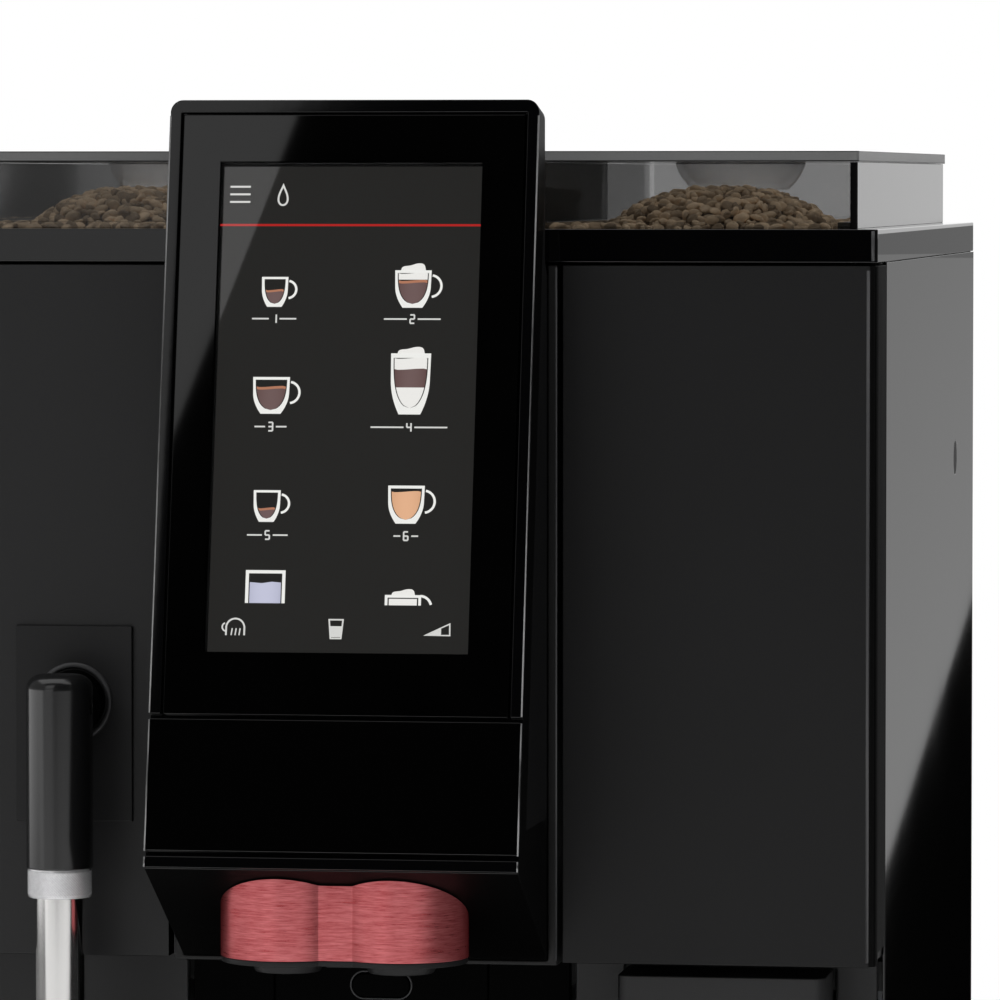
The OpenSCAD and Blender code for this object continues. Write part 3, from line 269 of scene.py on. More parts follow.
def zinc_sheet(name):
    """Galvanised sheet: flat crystals of different grey and shine. Its front, which shows in the
    gaps between the panels, is made black and matt as painted shade in those gaps."""
    f = Finish(name)
    crystals = f.node("ShaderNodeTexVoronoi", {"feature": "F1"},
                      {"Vector": f.place(), "Scale": 160.0}, "Color")
    tone = f.node("ShaderNodeSeparateColor", {}, {0: crystals})
    # Painted shade: the front of the sheet is black where it shows in the gaps.
    front = f.axes()[1] < SHEET_FRONT_Y
    bare = f.blend(tone, (0.46, 0.47, 0.49), (0.62, 0.63, 0.65))
    f.look(f.blend(front, bare, grey(0.004)), tone * 0.2 + 0.3 + front * 0.3)
    f.feed("Metallic", 0.9 - front * 0.9)
    return f.bump(f.noise(300, 2), 0.01).material


def boiler_metal(name, colour, tint):
    """Drawn boiler shell: turned rings, with cloudy heat tint."""
    f = Finish(name, Metallic=1.0)
    rings = f.noise(1, 2, f.stretched(6, 6, 900))
    tinted = f.noise(18, 4)
    f.look(f.blend(tinted, colour, tint), rings * 0.15 + tinted * 0.2 + 0.16)
    return f.bump(rings, 0.02).material


def clear_moulding(name, tint, facing, edge, black_corners=None, inner=None, milky=None):
    """Tinted see-through moulding, of opacity facing where it faces the eye and edge at a slant.
    Black corners, an |X| and a list of Y, make the corners where they meet black and opaque;
    walls nearer the middle than inner are clearer and hazy; what lies below milky is paler."""
    f = Finish(name, Specular_IOR_Level=0.5)
    slant = f.turned_away()
    flow = f.noise(16, 2)
    x, y, z = f.axes()
    tone = f.blend(flow, shade(tint, 0.9), shade(tint, 1.1))
    alpha = slant ** 1.6 * (edge - facing) + facing
    roughness = flow * 0.03 + 0.03
    if inner:
        between = abs(x) < inner
        alpha = alpha * (1 - between * 0.35)
        roughness = roughness + between * 0.55
    if milky:
        below = z < milky
        tone = f.blend(below * (0.75 + flow * 0.5), tone, grey(0.45))
        alpha = alpha * (1 - below * 0.35)
    if black_corners:
        across = abs(abs(x) - black_corners[0]) < CORNER_BAND_REACH
        corner = across * sum((abs(y - place) < CORNER_BAND_REACH for place in black_corners[1]), 0)
        tone = f.blend(corner, tone, grey(0.0004))
        alpha = alpha.at_least(corner)
    f.look(tone, roughness)
    f.feed("Alpha", alpha)
    return f.bump(f.noise(40, 1), 0.02).material


def anodised(name, low, high, deep, stretch):
    """Brushed anodised metal: short fine streaks, and painted shade, a deeper colour, where it
    turns away from the eye.
    """
    f = Finish(name, Metallic=0.85)
    fine = f.noise(1, 3, f.stretched(*stretch), 0.7)
    broad = f.noise(1, 1, f.stretched(*(s * 0.3 for s in stretch)))
    streaks = fine * 0.75 + broad * 0.25
    slant = f.turned_away()
    # Painted shade: the colour goes deep where the face turns away from the eye.
    f.look(f.blend(slant ** 1.6, f.ramp(streaks, [(0.3, low), (0.66, high)]), deep),
           streaks * 0.2 + 0.2)
    return f.bump(fine, 0.014).material


def printed_glass(name, window):
    """Black glass, printed from behind but for a clear window: its span in X, and its lowest and
    highest place up the lean from the lip."""
    f = Finish(name, Roughness=0.02, Specular_IOR_Level=0.6)
    x, y, z = f.axes()
    up = (y - LIP_Y) * math.sin(LEAN) + (z - LIP_Z) * math.cos(LEAN)
    clear = (x > window[0][0]) * (x < window[0][1]) * (up > window[1]) * (up < window[2])
    dust = f.noise(35, 3)
    f.feed("Base Color", f.blend(dust, grey(0.0002), grey(0.0007)))
    f.feed("Alpha", 1 - clear * 0.97)
    return f.bump(f.noise(30, 1), 0.001).material


def lit_screen(name, colour, rounded):
    """Lit picture element: its colour shines by itself through a fine raster. A rounded one is
    lighter in the middle of the two columns of cups."""
    f = Finish(name, Base_Color=grey(0.001), Roughness=0.01, Specular_IOR_Level=0.9,
               Emission_Strength=1.0)
    x, _, z = f.axes()
    raster = abs((x * RASTER).sine()) * abs((z * RASTER).sine())
    tone = f.blend(raster * 0.06, colour, shade(colour, 0.8))
    if rounded:
        off = abs(x - CUP_COLUMNS[0]).at_most(abs(x - CUP_COLUMNS[1])) * CUP_FADE
        lighter = shade(tuple(c + 0.04 for c in colour), 1.15)
        tone = f.blend((off * off).at_most(1.0), lighter, tone)
    f.feed("Emission Color", tone)
    return f.material


def bean_skin(name, dark, light):
    """Roasted bean: a tone of its own from the piece's attribute, mottled, oily and wrinkled. The
    fill between beans has no tone and takes the dark end of the ramp, as painted shade in the gaps.
    """
    f = Finish(name, Specular_IOR_Level=0.35)
    tone = f.node("ShaderNodeAttribute", {"attribute_name": "roast"}, output="Fac")
    mottle = f.noise(420, 3)
    mixed = tone * 0.7 + mottle * 0.3
    f.look(f.ramp(mixed, [(0.15, dark), (0.85, light)]), mottle * 0.2 + 0.42)
    return f.bump(f.noise(900, 2), 0.15).material


def circuit_board(name):
    """Lacquered board: copper fields under green lacquer with thin tracks between them."""
    f = Finish(name, Coat_Weight=0.6, Coat_Roughness=0.1)
    tracks = f.node("ShaderNodeTexBrick", {"offset": 0.5, "squash": 1.0}, {
        "Vector": f.place(), "Color1": (0.015, 0.11, 0.045), "Color2": (0.02, 0.15, 0.06),
        "Mortar": (0.03, 0.26, 0.1), "Scale": 120.0, "Mortar Size": 0.05, "Brick Width": 0.9})
    f.look(tracks, f.noise(200, 2) * 0.2 + 0.3)
    return f.material


# ---- Shapes ----

def slant(t, d):
    """Y and Z of a place on the display: t up the lean from the lip, d into the head."""
    return (LIP_Y + t * math.sin(LEAN) + d * math.cos(LEAN),
            LIP_Z + t * math.cos(LEAN) - d * math.sin(LEAN))


def put(name, data):
    """A new object in the scene."""
    made = bpy.data.objects.new(name, data)
    bpy.context.scene.collection.objects.link(made)
    return made


def add_piece(name, mesh, material, body, smooth=True):
    """Puts a finished mesh in the scene as a piece that rides on a body."""
    mesh.materials.clear()
    mesh.materials.append(material)
    mesh.polygons.foreach_set("use_smooth", [smooth] * len(mesh.polygons))
    piece = put(name, mesh)
    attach(piece, body)
    return piece


def add_part(name, mesh, material, node):
    """Puts a small part in the scene that belongs to a CAD node and moves with it."""
    return add_piece(name, mesh, material, BODY_OF[node])


def round_edges(piece, width):
    """A live rounding of the sharp edges; flat faces keep their flat shading."""
    bevel = piece.modifiers.new("rounded_edges", "BEVEL")
    bevel.width, bevel.segments = width * MM, 2
    bevel.limit_method, bevel.angle_limit = "ANGLE", math.radians(32)
    bevel.harden_normals, bevel.use_clamp_overlap = True, False
    bevel.miter_outer = "MITER_ARC"
    flat = piece.modifiers.new("flat_faces", "WEIGHTED_NORMAL")
    flat.weight = 100


def joined_copy(node):
    """A CAD node's mesh with its corners joined and its flat faces made whole."""
    bm = bmesh.new()
    bm.from_mesh(NODES[node].data)
    bmesh.ops.remove_doubles(bm, verts=bm.verts, dist=0.00002)
    bmesh.ops.dissolve_limit(bm, angle_limit=math.radians(0.6), verts=bm.verts, edges=bm.edges)
    mesh = bpy.data.meshes.new(node + "_dressed")
    bm.to_mesh(mesh)
    bm.free()
    return mesh


def dress(node, material, width, second=None):
    """A joined copy of a CAD node with rounded edges, which stands for the node. Second is a
    finish with a test that picks its faces by their normals and middles."""
    mesh = joined_copy(node)
    piece = add_part(node + "_dressed", mesh, material, node)
    if second:
        finish, test = second
        mesh.materials.append(finish)
        normals, middles = np.empty((2, len(mesh.polygons) * 3))
        mesh.polygons.foreach_get("normal", normals)
        mesh.polygons.foreach_get("center", middles)
        picked = test(normals.reshape(-1, 3), middles.reshape(-1, 3))
        mesh.polygons.foreach_set("material_index", picked.astype(np.int32))
    round_edges(piece, width)
    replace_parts(piece, node)


def paint(node, material):
    """Gives a CAD node its finish and leaves its shape."""
    mesh = NODES[node].data
    if not NODES[node].material_slots:
        mesh.materials.append(material)
    for slot in NODES[node].material_slots:
        slot.material = material


def mesh_of(name, points, faces):
    """A mesh from points and the corner numbers of its faces."""
    mesh = bpy.data.meshes.new(name)
    mesh.from_pydata(points, [], faces)
    return mesh


def ring_quads(rows, around, closed=False):
    """Corner numbers of the quads over rows of points, each row a ring. With closed, the last row
    is joined to the first."""
    index = np.arange(rows * around).reshape(rows, around)
    index = np.concatenate([index, index[:, :1]], 1)
    if closed:
        index = np.concatenate([index, index[:1]], 0)
    corners = [index[:-1, :-1], index[:-1, 1:], index[1:, 1:], index[1:, :-1]]
    return np.stack(corners, -1).reshape(-1, 4)


def grid_mesh(name, points):
    """A mesh of quads over rows of points, each row a ring."""
    return mesh_of(name, points.reshape(-1, 3), ring_quads(*points.shape[:2]))


def tidy_mesh(mesh):
    """Joins doubled corners, closes open ends with caps and turns the faces outwards."""
    bm = bmesh.new()
    bm.from_mesh(mesh)
    bmesh.ops.remove_doubles(bm, verts=bm.verts, dist=0.005 * MM)
    bmesh.ops.holes_fill(bm, edges=[e for e in bm.edges if e.is_boundary])
    bmesh.ops.recalc_face_normals(bm, faces=bm.faces)
    bm.to_mesh(mesh)
    bm.free()
    return mesh


def turned(name, profile, centre, axis, around, wave=None):
    """A turned form: the profile, pairs of radius and height, swept round an axis.
    A wave adds to the radius by angle and height, as a knurl does."""
    profile = np.asarray(profile, float)
    angle = np.linspace(0, 2 * math.pi, around, endpoint=False)
    radius = np.repeat(profile[:, :1], around, 1)
    height = np.repeat(profile[:, 1:], around, 1)
    if wave is not None:
        radius = radius + wave(angle[None, :], height) * (radius > 0)
    ring = [radius * np.cos(angle), radius * np.sin(angle), height]
    points = np.stack(ring[-axis - 1:] + ring[:-axis - 1] if axis != 2 else ring, -1)
    return tidy_mesh(grid_mesh(name, points * MM + np.asarray(centre) * MM))


def welts(name, paths, radius, out, closed=False):
    """Thin round beads, in one mesh: a circle of the radius carried along each path, a list of
    places in millimetres in one plane, whose normal is out."""
    around = 10
    turn = np.linspace(0, 2 * math.pi, around, endpoint=False)[None, :, None]
    out = np.asarray(out, float) / np.linalg.norm(out)
    points, faces = [], []
    for path in paths:
        path = np.asarray(path, float)
        if closed:
            ahead = np.roll(path, -1, 0) - np.roll(path, 1, 0)
        else:
            ahead = np.gradient(path, axis=0)
        ahead /= np.linalg.norm(ahead, axis=1, keepdims=True)
        side = np.cross(ahead, out)
        ring = path[:, None] + radius * (np.cos(turn) * side[:, None] + np.sin(turn) * out)
        faces.append(ring_quads(len(ring), around, closed) + sum(len(p) for p in points))
        points.append(ring.reshape(-1, 3))
    return tidy_mesh(mesh_of(name, np.concatenate(points) * MM, np.concatenate(faces)))


def plates(name, outlines, low, high):
    """Thin plates on the lean in one mesh: each outline, a list of (x, t), is raised from depth
    low to depth high towards the eye."""
    points, faces, start = [], [], 0
    for outline in outlines:
        x, t = np.array(outline).T * MM
        points += [np.stack([x, *slant(t, d * MM)], -1) for d in (low, high)]
        back = np.arange(start, start + len(x))
        front = back + len(x)
        sides = np.stack([back, front, np.roll(front, -1), np.roll(back, -1)], -1)
        faces += [back.tolist(), front[::-1].tolist(), *sides.tolist()]
        start += 2 * len(x)
    return tidy_mesh(mesh_of(name, np.concatenate(points), faces))


# ---- Beans (millimetres) ----

DECK_Z = 629.2               # a fill's top starts over this height
BEAN_HALF = (3.3, 2.5, 1.75) # half length, width and thickness
BEAN_ROWS, BEAN_AROUND = 6, 8
BEAN_PITCH, BEAN_SPREAD = 4.3, 1.4
WALL_GAP = 3                 # no bean's middle is nearer to a wall
THIN_Z, THIN_SHARE = 630.4, 0.22  # under this height of the fill only this share lies


def mound(x, y):
    """Height of an outer heap: rounded, and told by the elliptic distance from its middle."""
    reach = np.hypot((np.abs(x) - 126) / 48, (y + 6.5) / 75)
    return 629.4 + 14.8 * np.interp(reach, [0.32, 0.5, 0.74, 1.0], [1, 0.87, 0.55, 0])


def level_heap(x, y):
    """Height of the middle heap: level, and sloping down close to its walls."""
    slopes = np.stack([(47 - np.abs(x)) / 3, (y + 131) / 8, (166 - y) / 6])
    return 629.6 + 13.2 * np.clip(slopes.min(0), 0, 1)


def bean_form():
    """One bean: an ellipsoid in rows and rings, pinched along its flat side."""
    long, wide, thick = BEAN_HALF
    u = np.linspace(0, 2 * math.pi, BEAN_AROUND, endpoint=False)[None]
    v = np.linspace(0.02, math.pi - 0.02, BEAN_ROWS)[:, None]
    pinch = np.where(np.sin(u) < -0.9, 0.4, 1.0)
    parts = [np.cos(v) * long + 0 * u, np.sin(v) * np.cos(u) * wide,
             np.sin(v) * np.sin(u) * thick * pinch]
    return np.stack(parts, -1).reshape(-1, 3)


def about(axis, angle):
    """Turning matrices about an axis by an array of angles."""
    matrix = np.tile(np.eye(3), (len(angle), 1, 1))
    a, b = (axis + 1) % 3, (axis + 2) % 3
    matrix[:, a, a] = matrix[:, b, b] = np.cos(angle)
    matrix[:, a, b], matrix[:, b, a] = -np.sin(angle), np.sin(angle)
    return matrix


def lowered_fill(node):
    """The CAD fill with its top lowered, as ground in the gaps between beans, which its finish
    colours dark as painted shade.
    """
    under = joined_copy(node)
    place = np.empty(len(under.vertices) * 3)
    under.vertices.foreach_get("co", place)
    place[2::3] -= np.where(place[2::3] > DECK_Z * MM, 2.2 * MM, 0)
    under.vertices.foreach_set("co", place)
    return under


def merged(name, meshes):
    """Several meshes in one."""
    bm = bmesh.new()
    for mesh in meshes:
        bm.from_mesh(mesh)
    whole = bpy.data.meshes.new(name)
    bm.to_mesh(whole)
    bm.free()
    return whole


def bean_heap(node, material, height, seed):
    """Loose beans over a lowered fill, in one mesh that stands for a CAD fill. Each has its own
    angles, size and roasting tone, and is sunk so far that the heap is their mean level; the fill
    has no tone of its own and takes the dark painted shade of the gaps."""
    rng = np.random.default_rng(seed)
    low, high = (np.array(corner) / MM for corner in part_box(node))
    low, high = low + WALL_GAP, high - WALL_GAP
    gx, gy = np.meshgrid(*(np.arange(low[k], high[k] + 1, BEAN_PITCH) for k in (0, 1)))
    gx = gx + (np.arange(gx.shape[0]) % 2)[:, None] * BEAN_PITCH / 2
    x, y = (np.clip(g.ravel() + rng.uniform(-BEAN_SPREAD, BEAN_SPREAD, g.size), low[k], high[k])
            for k, g in enumerate((gx, gy)))
    kept = (height(x, y) > THIN_Z) | (rng.uniform(0, 1, gx.size) < THIN_SHARE)
    x, y = x[kept], y[kept]
    count = len(x)
    z = height(x, y) + rng.uniform(-2.5, -0.9, count)
    yaw, roll = rng.uniform(0, 2 * math.pi, (2, count))
    nod = rng.uniform(-0.6, 0.6, count)
    turn = about(2, yaw) @ about(1, nod) @ about(0, roll)
    size = rng.uniform(0.85, 1.15, count)[:, None, None]
    points = np.einsum("nij,kj->nki", turn, bean_form()) * size + np.stack([x, y, z], -1)[:, None]
    corners = BEAN_ROWS * BEAN_AROUND
    faces = ring_quads(BEAN_ROWS, BEAN_AROUND) + corners * np.arange(count)[:, None, None]
    beans = tidy_mesh(mesh_of(node + "_loose", points.reshape(-1, 3) * MM, faces.reshape(-1, 4)))
    # Only the beans get a tone; the fill keeps none and so takes the dark painted shade of the
    # gaps.
    roast = beans.attributes.new("roast", "FLOAT", "POINT")
    roast.data.foreach_set("value", np.repeat(rng.uniform(0.25, 1, count), corners))
    heap = merged(node + "_heap", [beans, lowered_fill(node)])
    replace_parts(add_part(node + "_heap", heap, material, node), node)


# ---- Screen pictures: outlines of (x, t) in millimetres, t up the lean from the lip ----

def arc(x, t, radius, start, stop, count):
    """Places round a circle, angles in degrees."""
    angle = np.radians(np.linspace(start, stop, count))
    return list(zip(x + radius * np.cos(angle), t + radius * np.sin(angle)))


def unit(rows):
    """Rows of two numbers, each row made one long."""
    return rows / np.maximum(np.linalg.norm(rows, axis=1, keepdims=True), 1e-9)


def line(path, width, closed=False):
    """A stroke: the outlines a half width to each side of a path, with mitred corners."""
    path = np.asarray(path, float)
    ahead = np.roll(path, -1, 0) - path
    if not closed:
        ahead[-1] = ahead[-2]
    behind = np.roll(ahead, 1, 0)
    if not closed:
        behind[0] = ahead[0]
    ahead, behind = unit(ahead), unit(behind)
    normal = unit(ahead + behind)
    normal, square = (np.stack([-v[:, 1], v[:, 0]], -1) for v in (normal, ahead))
    reach = width / 2 / np.maximum((normal * square).sum(1, keepdims=True), 0.4)
    left, right = path + normal * reach, path - normal * reach
    outlines = np.stack([left, np.roll(left, -1, 0), np.roll(right, -1, 0), right], 1)
    if not closed:
        outlines = outlines[:-1]
    return outlines.tolist()


def rectangle(left, right, low, high):
    """The outline of a rectangle."""
    return [(left, low), (right, low), (right, high), (left, high)]


def shell_half(part, half):
    """Half width of a cup's outside at a part of its height from the rim: it tapers a little,
    and bends in to the foot below the middle by the square of the depth."""
    return half * (1 - 0.06 * part - 0.4 * np.clip((part - 0.45) / 0.55, 0, 1) ** 2)


def hollow_half(part, half):
    """Half width of a cup's inside, a deep U: the cube of the depth under a root."""
    return (half - 1.1) * (1 - (part / 0.9) ** 3) ** 0.5


def both_sides(x, side, t):
    """An outline down the left side of a form and up its right side."""
    return list(zip(x - side, t)) + list(zip(x + side[::-1], t[::-1]))


def vessel(x, rim, low, half, handle):
    """A thick glass cup from its rim to its foot: its walls, its hollow and its ring handle."""
    part = np.linspace(0, 1, 22)
    t = rim - (rim - low) * part
    walls = [both_sides(x, shell_half(part, half), t)]
    if handle:
        tall = rim - low
        walls += line(arc(x + half * 0.96, rim - tall * 0.42, tall * 0.29, -82, 80, 18), 0.95)
    deep = np.linspace(0.075, 0.9, 22)
    t = rim - (rim - low) * deep
    return walls, [both_sides(x, hollow_half(deep, half), t)]


def drink(x, rim, low, half, top, bottom=0.9):
    """Drink in the hollow between two parts of the height, with a gentle wave on top."""
    deep = np.linspace(top, bottom, 18)
    t = rim - (rim - low) * deep
    side = np.maximum(hollow_half(deep, half) - 0.4, 0)
    across = np.linspace(side[0], -side[0], 12)[1:-1]
    wave = np.sin(across / half * 2.6) * 0.25
    return [both_sides(x, side, t) + list(zip(x + across, t[0] + wave))]


def foam(x, rim, half, high):
    """Foam that stands over a rim: a flat hump with round ends, a little higher on the right."""
    across = np.linspace(-1, 1, 30)
    hump = (1 - across ** 6) ** 0.5 * (0.8 + 0.2 * np.tanh(across * 3))
    return [list(zip(x + across * 0.68 * half, rim + high * hump))]


DIGIT = {"1": "bc", "2": "abged", "3": "abgcd", "4": "fgbc", "5": "afgcd", "6": "afgedc"}


def digit(sign, x, t, height, stroke):
    """A plain digit of up to seven strokes, a to g as on a meter, centred on x and t."""
    w, h = height / 2, height
    places = {"a": ((0, h), (w, h)), "b": ((w, h), (w, h / 2)), "c": ((w, h / 2), (w, 0)),
              "d": ((0, 0), (w, 0)), "e": ((0, h / 2), (0, 0)), "f": ((0, h), (0, h / 2)),
              "g": ((0, h / 2), (w, h / 2))}
    return [outline for key in DIGIT[sign]
            for outline in line([(x - w / 2 + a, t - h / 2 + b) for a, b in places[key]], stroke)]


def bar(x, t, width, height):
    """A plain bar, centred on x and t."""
    return [rectangle(x - width / 2, x + width / 2, t - height / 2, t + height / 2)]


# Each cup of the menu: X of its middle, its rim, its foot and half its width.
CUPS = ((-30.8, 238.6, 226.4, 5.4), (25.3, 241.4, 226.2, 7.4), (-30.9, 197.9, 183.0, 7.5),
        (25.4, 207.7, 183.0, 8.1), (-31.1, 152.1, 139.3, 5.5), (25.2, 154.3, 139.0, 7.4))
TALL_GLASS = 3               # the place in CUPS of the one without a handle
# Each label: X, its height, its length over all, and its number.
LABELS = ((-30.7, 221.6, 18, "1"), (25.4, 221.6, 23, "2"), (-30.7, 177.8, 13, "3"),
          (25.4, 177.8, 31, "4"), (-30.5, 134, 16.5, "5"), (25.5, 134, 10, "6"))


def cup_pictures():
    """Outlines of the six drinks by what they show."""
    walls, hollows, dark, crema = [], [], [], []
    for k, (x, rim, foot, half) in enumerate(CUPS):
        wall, hollow = vessel(x, rim, foot, half, handle=k != TALL_GLASS)
        walls, hollows = walls + wall, hollows + hollow
    for k, top in ((0, 0.43), (1, 0.27), (2, 0.26), (4, 0.56)):
        crema += drink(*CUPS[k], top, top + 0.16)
        dark += drink(*CUPS[k], top + 0.07)
    milk = drink(*CUPS[1], 0.08, 0.25) + foam(*CUPS[1][:2], 7.4, 2.9)
    milk += drink(*CUPS[3], 0.08, 0.9) + foam(*CUPS[3][:2], 8.1, 2.7)
    dark += drink(*CUPS[3], 0.26, 0.56)
    return walls, hollows, dark, crema, milk, drink(*CUPS[5], 0.16)


def sign_pictures():
    """Outlines of the labels and of the plain signs in the corners and along the foot."""
    signs = []
    for x, t, wide, name in LABELS:
        arm = (wide - 4.4) / 2
        signs += digit(name, x, t, 3.4, 0.62)
        signs += bar(x - (wide - arm) / 2, t, arm, 0.62) + bar(x + (wide - arm) / 2, t, arm, 0.62)
    for k in range(3):
        signs += bar(-46.2, 272.3 + (k - 1) * 3.1, 8.3, 0.75)
    angle = np.linspace(0, 2 * math.pi, 29)[:-1]
    swell = np.sin(angle / 2) ** 1.3
    drop = zip(-28.7 + 2.6 * np.sin(angle) * swell, 271.9 + 4.0 * np.cos(angle))
    signs += line(list(drop), 0.75, closed=True)
    signs += line(arc(-42.2, 96.6, 3.7, 8, 172, 16) + [(-45.9, 93.6)], 0.7)
    signs += line([(-38.5, 97.2), (-38.5, 93.6)], 0.7)
    signs += line(arc(-45.8, 96.9, 1.7, 110, 262, 8), 0.6)
    for k in range(3):
        signs += line([(-43.8 + 1.6 * k, 93.6), (-43.4 + 1.6 * k, 96.4)], 0.5)
    signs += line([(-4.3, 100.2), (-3.6, 92.7), (0.6, 92.7), (1.3, 100.2)], 0.6, closed=True)
    signs += [[(-3.5, 93.2), (0.5, 93.2), (0.9, 97.6), (-3.9, 97.6)]]
    signs += line([(34.4, 94.3), (44.4, 94.3), (44.3, 98.9)], 0.55, closed=True)
    return signs + [[(34.9, 94.3), (40.9, 94.3), (40.9, 97.1)]]


def screen_pictures():
    """The drinks menu, in groups of outlines with a colour and a height over the screen."""
    ground_grey = (0.0205, 0.0201, 0.019)
    walls, hollows, dark, crema, milk, pale = cup_pictures()
    walls += line([(-38.0, 106.6), (-38.0, 119.2), (-23.2, 119.2), (-23.2, 106.6)], 1.3)
    water = [[(-36.9, 106.6), (-24.3, 106.6), (-24.3, 114.9), (-28, 115.2), (-32, 114.6),
              (-36.9, 115.0)]]
    walls += line([(18.4, 106.2), (18.4, 109.8), (31.9, 109.8), (31.9, 106.2)], 1.1)
    walls += line(arc(32, 105.4, 4.6, 88, 14, 8), 1.0)
    milk += [rectangle(19.5, 30.8, 106.2, 108.8)] + foam(25.2, 110.2, 7.0, 2.6)
    return (("ground", [rectangle(-53.2, 52.0, 86.9, 283.6)], ground_grey, 0.04),
            ("cup_walls", walls, (0.9, 0.9, 0.87), 0.09),
            ("cup_hollows", hollows, ground_grey, 0.13),
            ("milk", milk, (0.88, 0.87, 0.84), 0.17), ("crema", crema, (0.46, 0.2, 0.12), 0.21),
            ("dark_drinks", dark, (0.105, 0.055, 0.052), 0.25),
            ("pale_drinks", pale, (0.66, 0.36, 0.2), 0.25),
            ("water", water, (0.46, 0.47, 0.6), 0.17),
            ("signs", sign_pictures(), (0.7, 0.7, 0.68), 0.1),
            ("red_rule", [rectangle(-54, 52.0, 259.3, 260.2)], (0.45, 0.02, 0.018), 0.1))


# ---- Building the machine ----

def along_lean(x, t, d):
    """A place in millimetres on the display."""
    y, z = slant(t * MM, d * MM)
    return x, y / MM, z / MM


def head_side_shadow(x, y, z):
    """1 on the sides of the display itself, which is 20 mm deep, and of its chin, where shadow is
    painted black.
    """
    deep = (y - LIP_Y) * math.cos(LEAN) - (z - LIP_Z) * math.sin(LEAN)
    return (deep < 0.02).at_least(z < 0.39)


def door_return_shade(x, y, z):
    """1 on the door's outer return, which is painted black as shade."""
    return abs(x) > 0.2055


def key_slot_shade_and_joint(x, y, z):
    """1 in the lock's key slot, painted black as shade in its recess, and on the dark joint round
    its plug.
    """
    y, z = y - KEY_Y, z - KEY_Z
    slot = (abs(y) < 0.0008) * (abs(z) < 0.0034)
    return slot.at_least(abs((y ** 2 + z ** 2) ** 0.5 - 0.0058) < 0.0003)


def rocker_marks(x, y, z):
    """1 on the rocker's marks: a bar over a ring."""
    x = x + 0.15
    stroke = (abs(x) < 0.0004) * (abs(z - 0.123) < 0.0021)
    return stroke.at_least(abs((x ** 2 + (z - 0.1132) ** 2) ** 0.5 - 0.0019) < 0.0004)


def lid_rim_corner_shade(x, y, z):
    """1 on the two corners of a lid's rim, under and over its flat edge, painted black as shade."""
    return (z < LID_EDGE_Z[0]) + (z > LID_EDGE_Z[1])


def sideways(normals, middles):
    """True for the faces that don't look to the front."""
    return normals[:, 1] > -0.6


def lid_rim(normals, middles):
    """True for the upright faces of a lid's rim, above its bowl."""
    return (np.abs(normals[:, 2]) < 0.3) & (middles[:, 2] > 0.6555)


def add_edge_lines(bright_highlight, dim_highlight):
    """Beads that stand in as painted highlights along edges: bright ones on the display's corners,
    and dim ones on the door, panel, deck and bar.
    """
    corners = [[along_lean(x, low, 0.3), along_lean(x, high, 0.3)]
               for x in (-74.8, 74.8) for low, high in ((0.1, 4.2), (6.4, 59.0), (61.6, 303.5))]
    beads = welts("display_corner_highlights", corners, 0.42, (1, 0, 0))
    add_part("display_corner_highlights", beads, bright_highlight, "display_shell")
    for node, sides, x, y, low, high, radius in (
            ("right_door", (1,), 204.8, -180.95, 333, 611.6, 0.85),
            ("left_front_panel", (-1,), 204.8, -180.95, 333, 611.6, 0.85),
            ("top_cover", (-1, 1), 206.6, -180.9, 615.4, 627.4, 0.85),
            ("column_frame", (-1, 1), 78.5, -181.2, 332, 612.6, 0.5)):
        name = node + ("_line" if len(sides) == 1 else "_lines")
        upright = [[(side * x, y, low), (side * x, y, high)] for side in sides]
        add_part(name, welts(name, upright, radius, (0, 1, 0)), dim_highlight, node)


RING_LOW, RING_HIGH = 358.9, 369.1   # the span of the wand ring's knurl


def knurl_wave(angle, height):
    """Diamond knurl: the higher of two crossed triangle waves, 72 to the turn and 1.1 mm up."""
    around = angle * 72 / (2 * math.pi)
    one, two = (np.abs((around + turn * height / 1.1) % 1 - 0.5) for turn in (1, -1))
    return np.maximum(one, two) * 0.9 * ((height > RING_LOW) & (height < RING_HIGH))


def add_wand_parts(knurl, rim):
    """The wand's knurled ring, in place of its plain one, and the rim round the joint's recess,
    whose lighter colour is a dim painted highlight.
    """
    middle = np.mean(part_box("steam_ring"), 0) / MM
    rows = 41
    knurled = np.linspace(RING_LOW, RING_HIGH, rows)
    heights = np.concatenate([[358.0, 358.5], knurled, [369.5, 370.0]])
    radii = np.concatenate([[12.4, 12.9], np.full(rows, 12.6), [12.9, 12.4]])
    profile = [(10.3, 358.0)] + list(zip(radii, heights)) + [(10.3, 370.0), (10.3, 358.0)]
    ring = turned("steam_ring_knurled", profile, (middle[0], middle[1], 0), 2, 384, knurl_wave)
    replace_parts(add_part("steam_ring_knurled", ring, knurl, "steam_ring"), "steam_ring")
    edge = [(14.0, 0.4), (14.0, -0.5), (14.4, -0.9), (15.3, -1.0), (15.9, -0.6), (16.1, 0.0),
            (16.1, 0.4), (14.0, 0.4)]
    round_rim = turned("steam_plate_rim", edge, (-120, -183.5, 435), 1, 96)
    add_part("steam_plate_rim", round_rim, rim, "steam_plate")


def add_rear_screws(steel):
    """Socket screws round the rear panel: three to a row, and none in the very middle."""
    head = [(0.01, 0.5), (1.3, 0.5), (1.45, 1.5), (2.4, 1.45), (3.1, 0.9), (3.3, 0.0),
            (0.01, 0.0), (0.01, 0.5)]
    places = [(x, z) for x in (-199, 0, 199) for z in (54, 330, 600) if (x, z) != (0, 330)]
    screws = [turned("screw", head, (x, 284.1, z), 1, 24) for x, z in places]
    add_part("rear_panel_screws", merged("rear_panel_screws", screws), steel, "rear_panel")


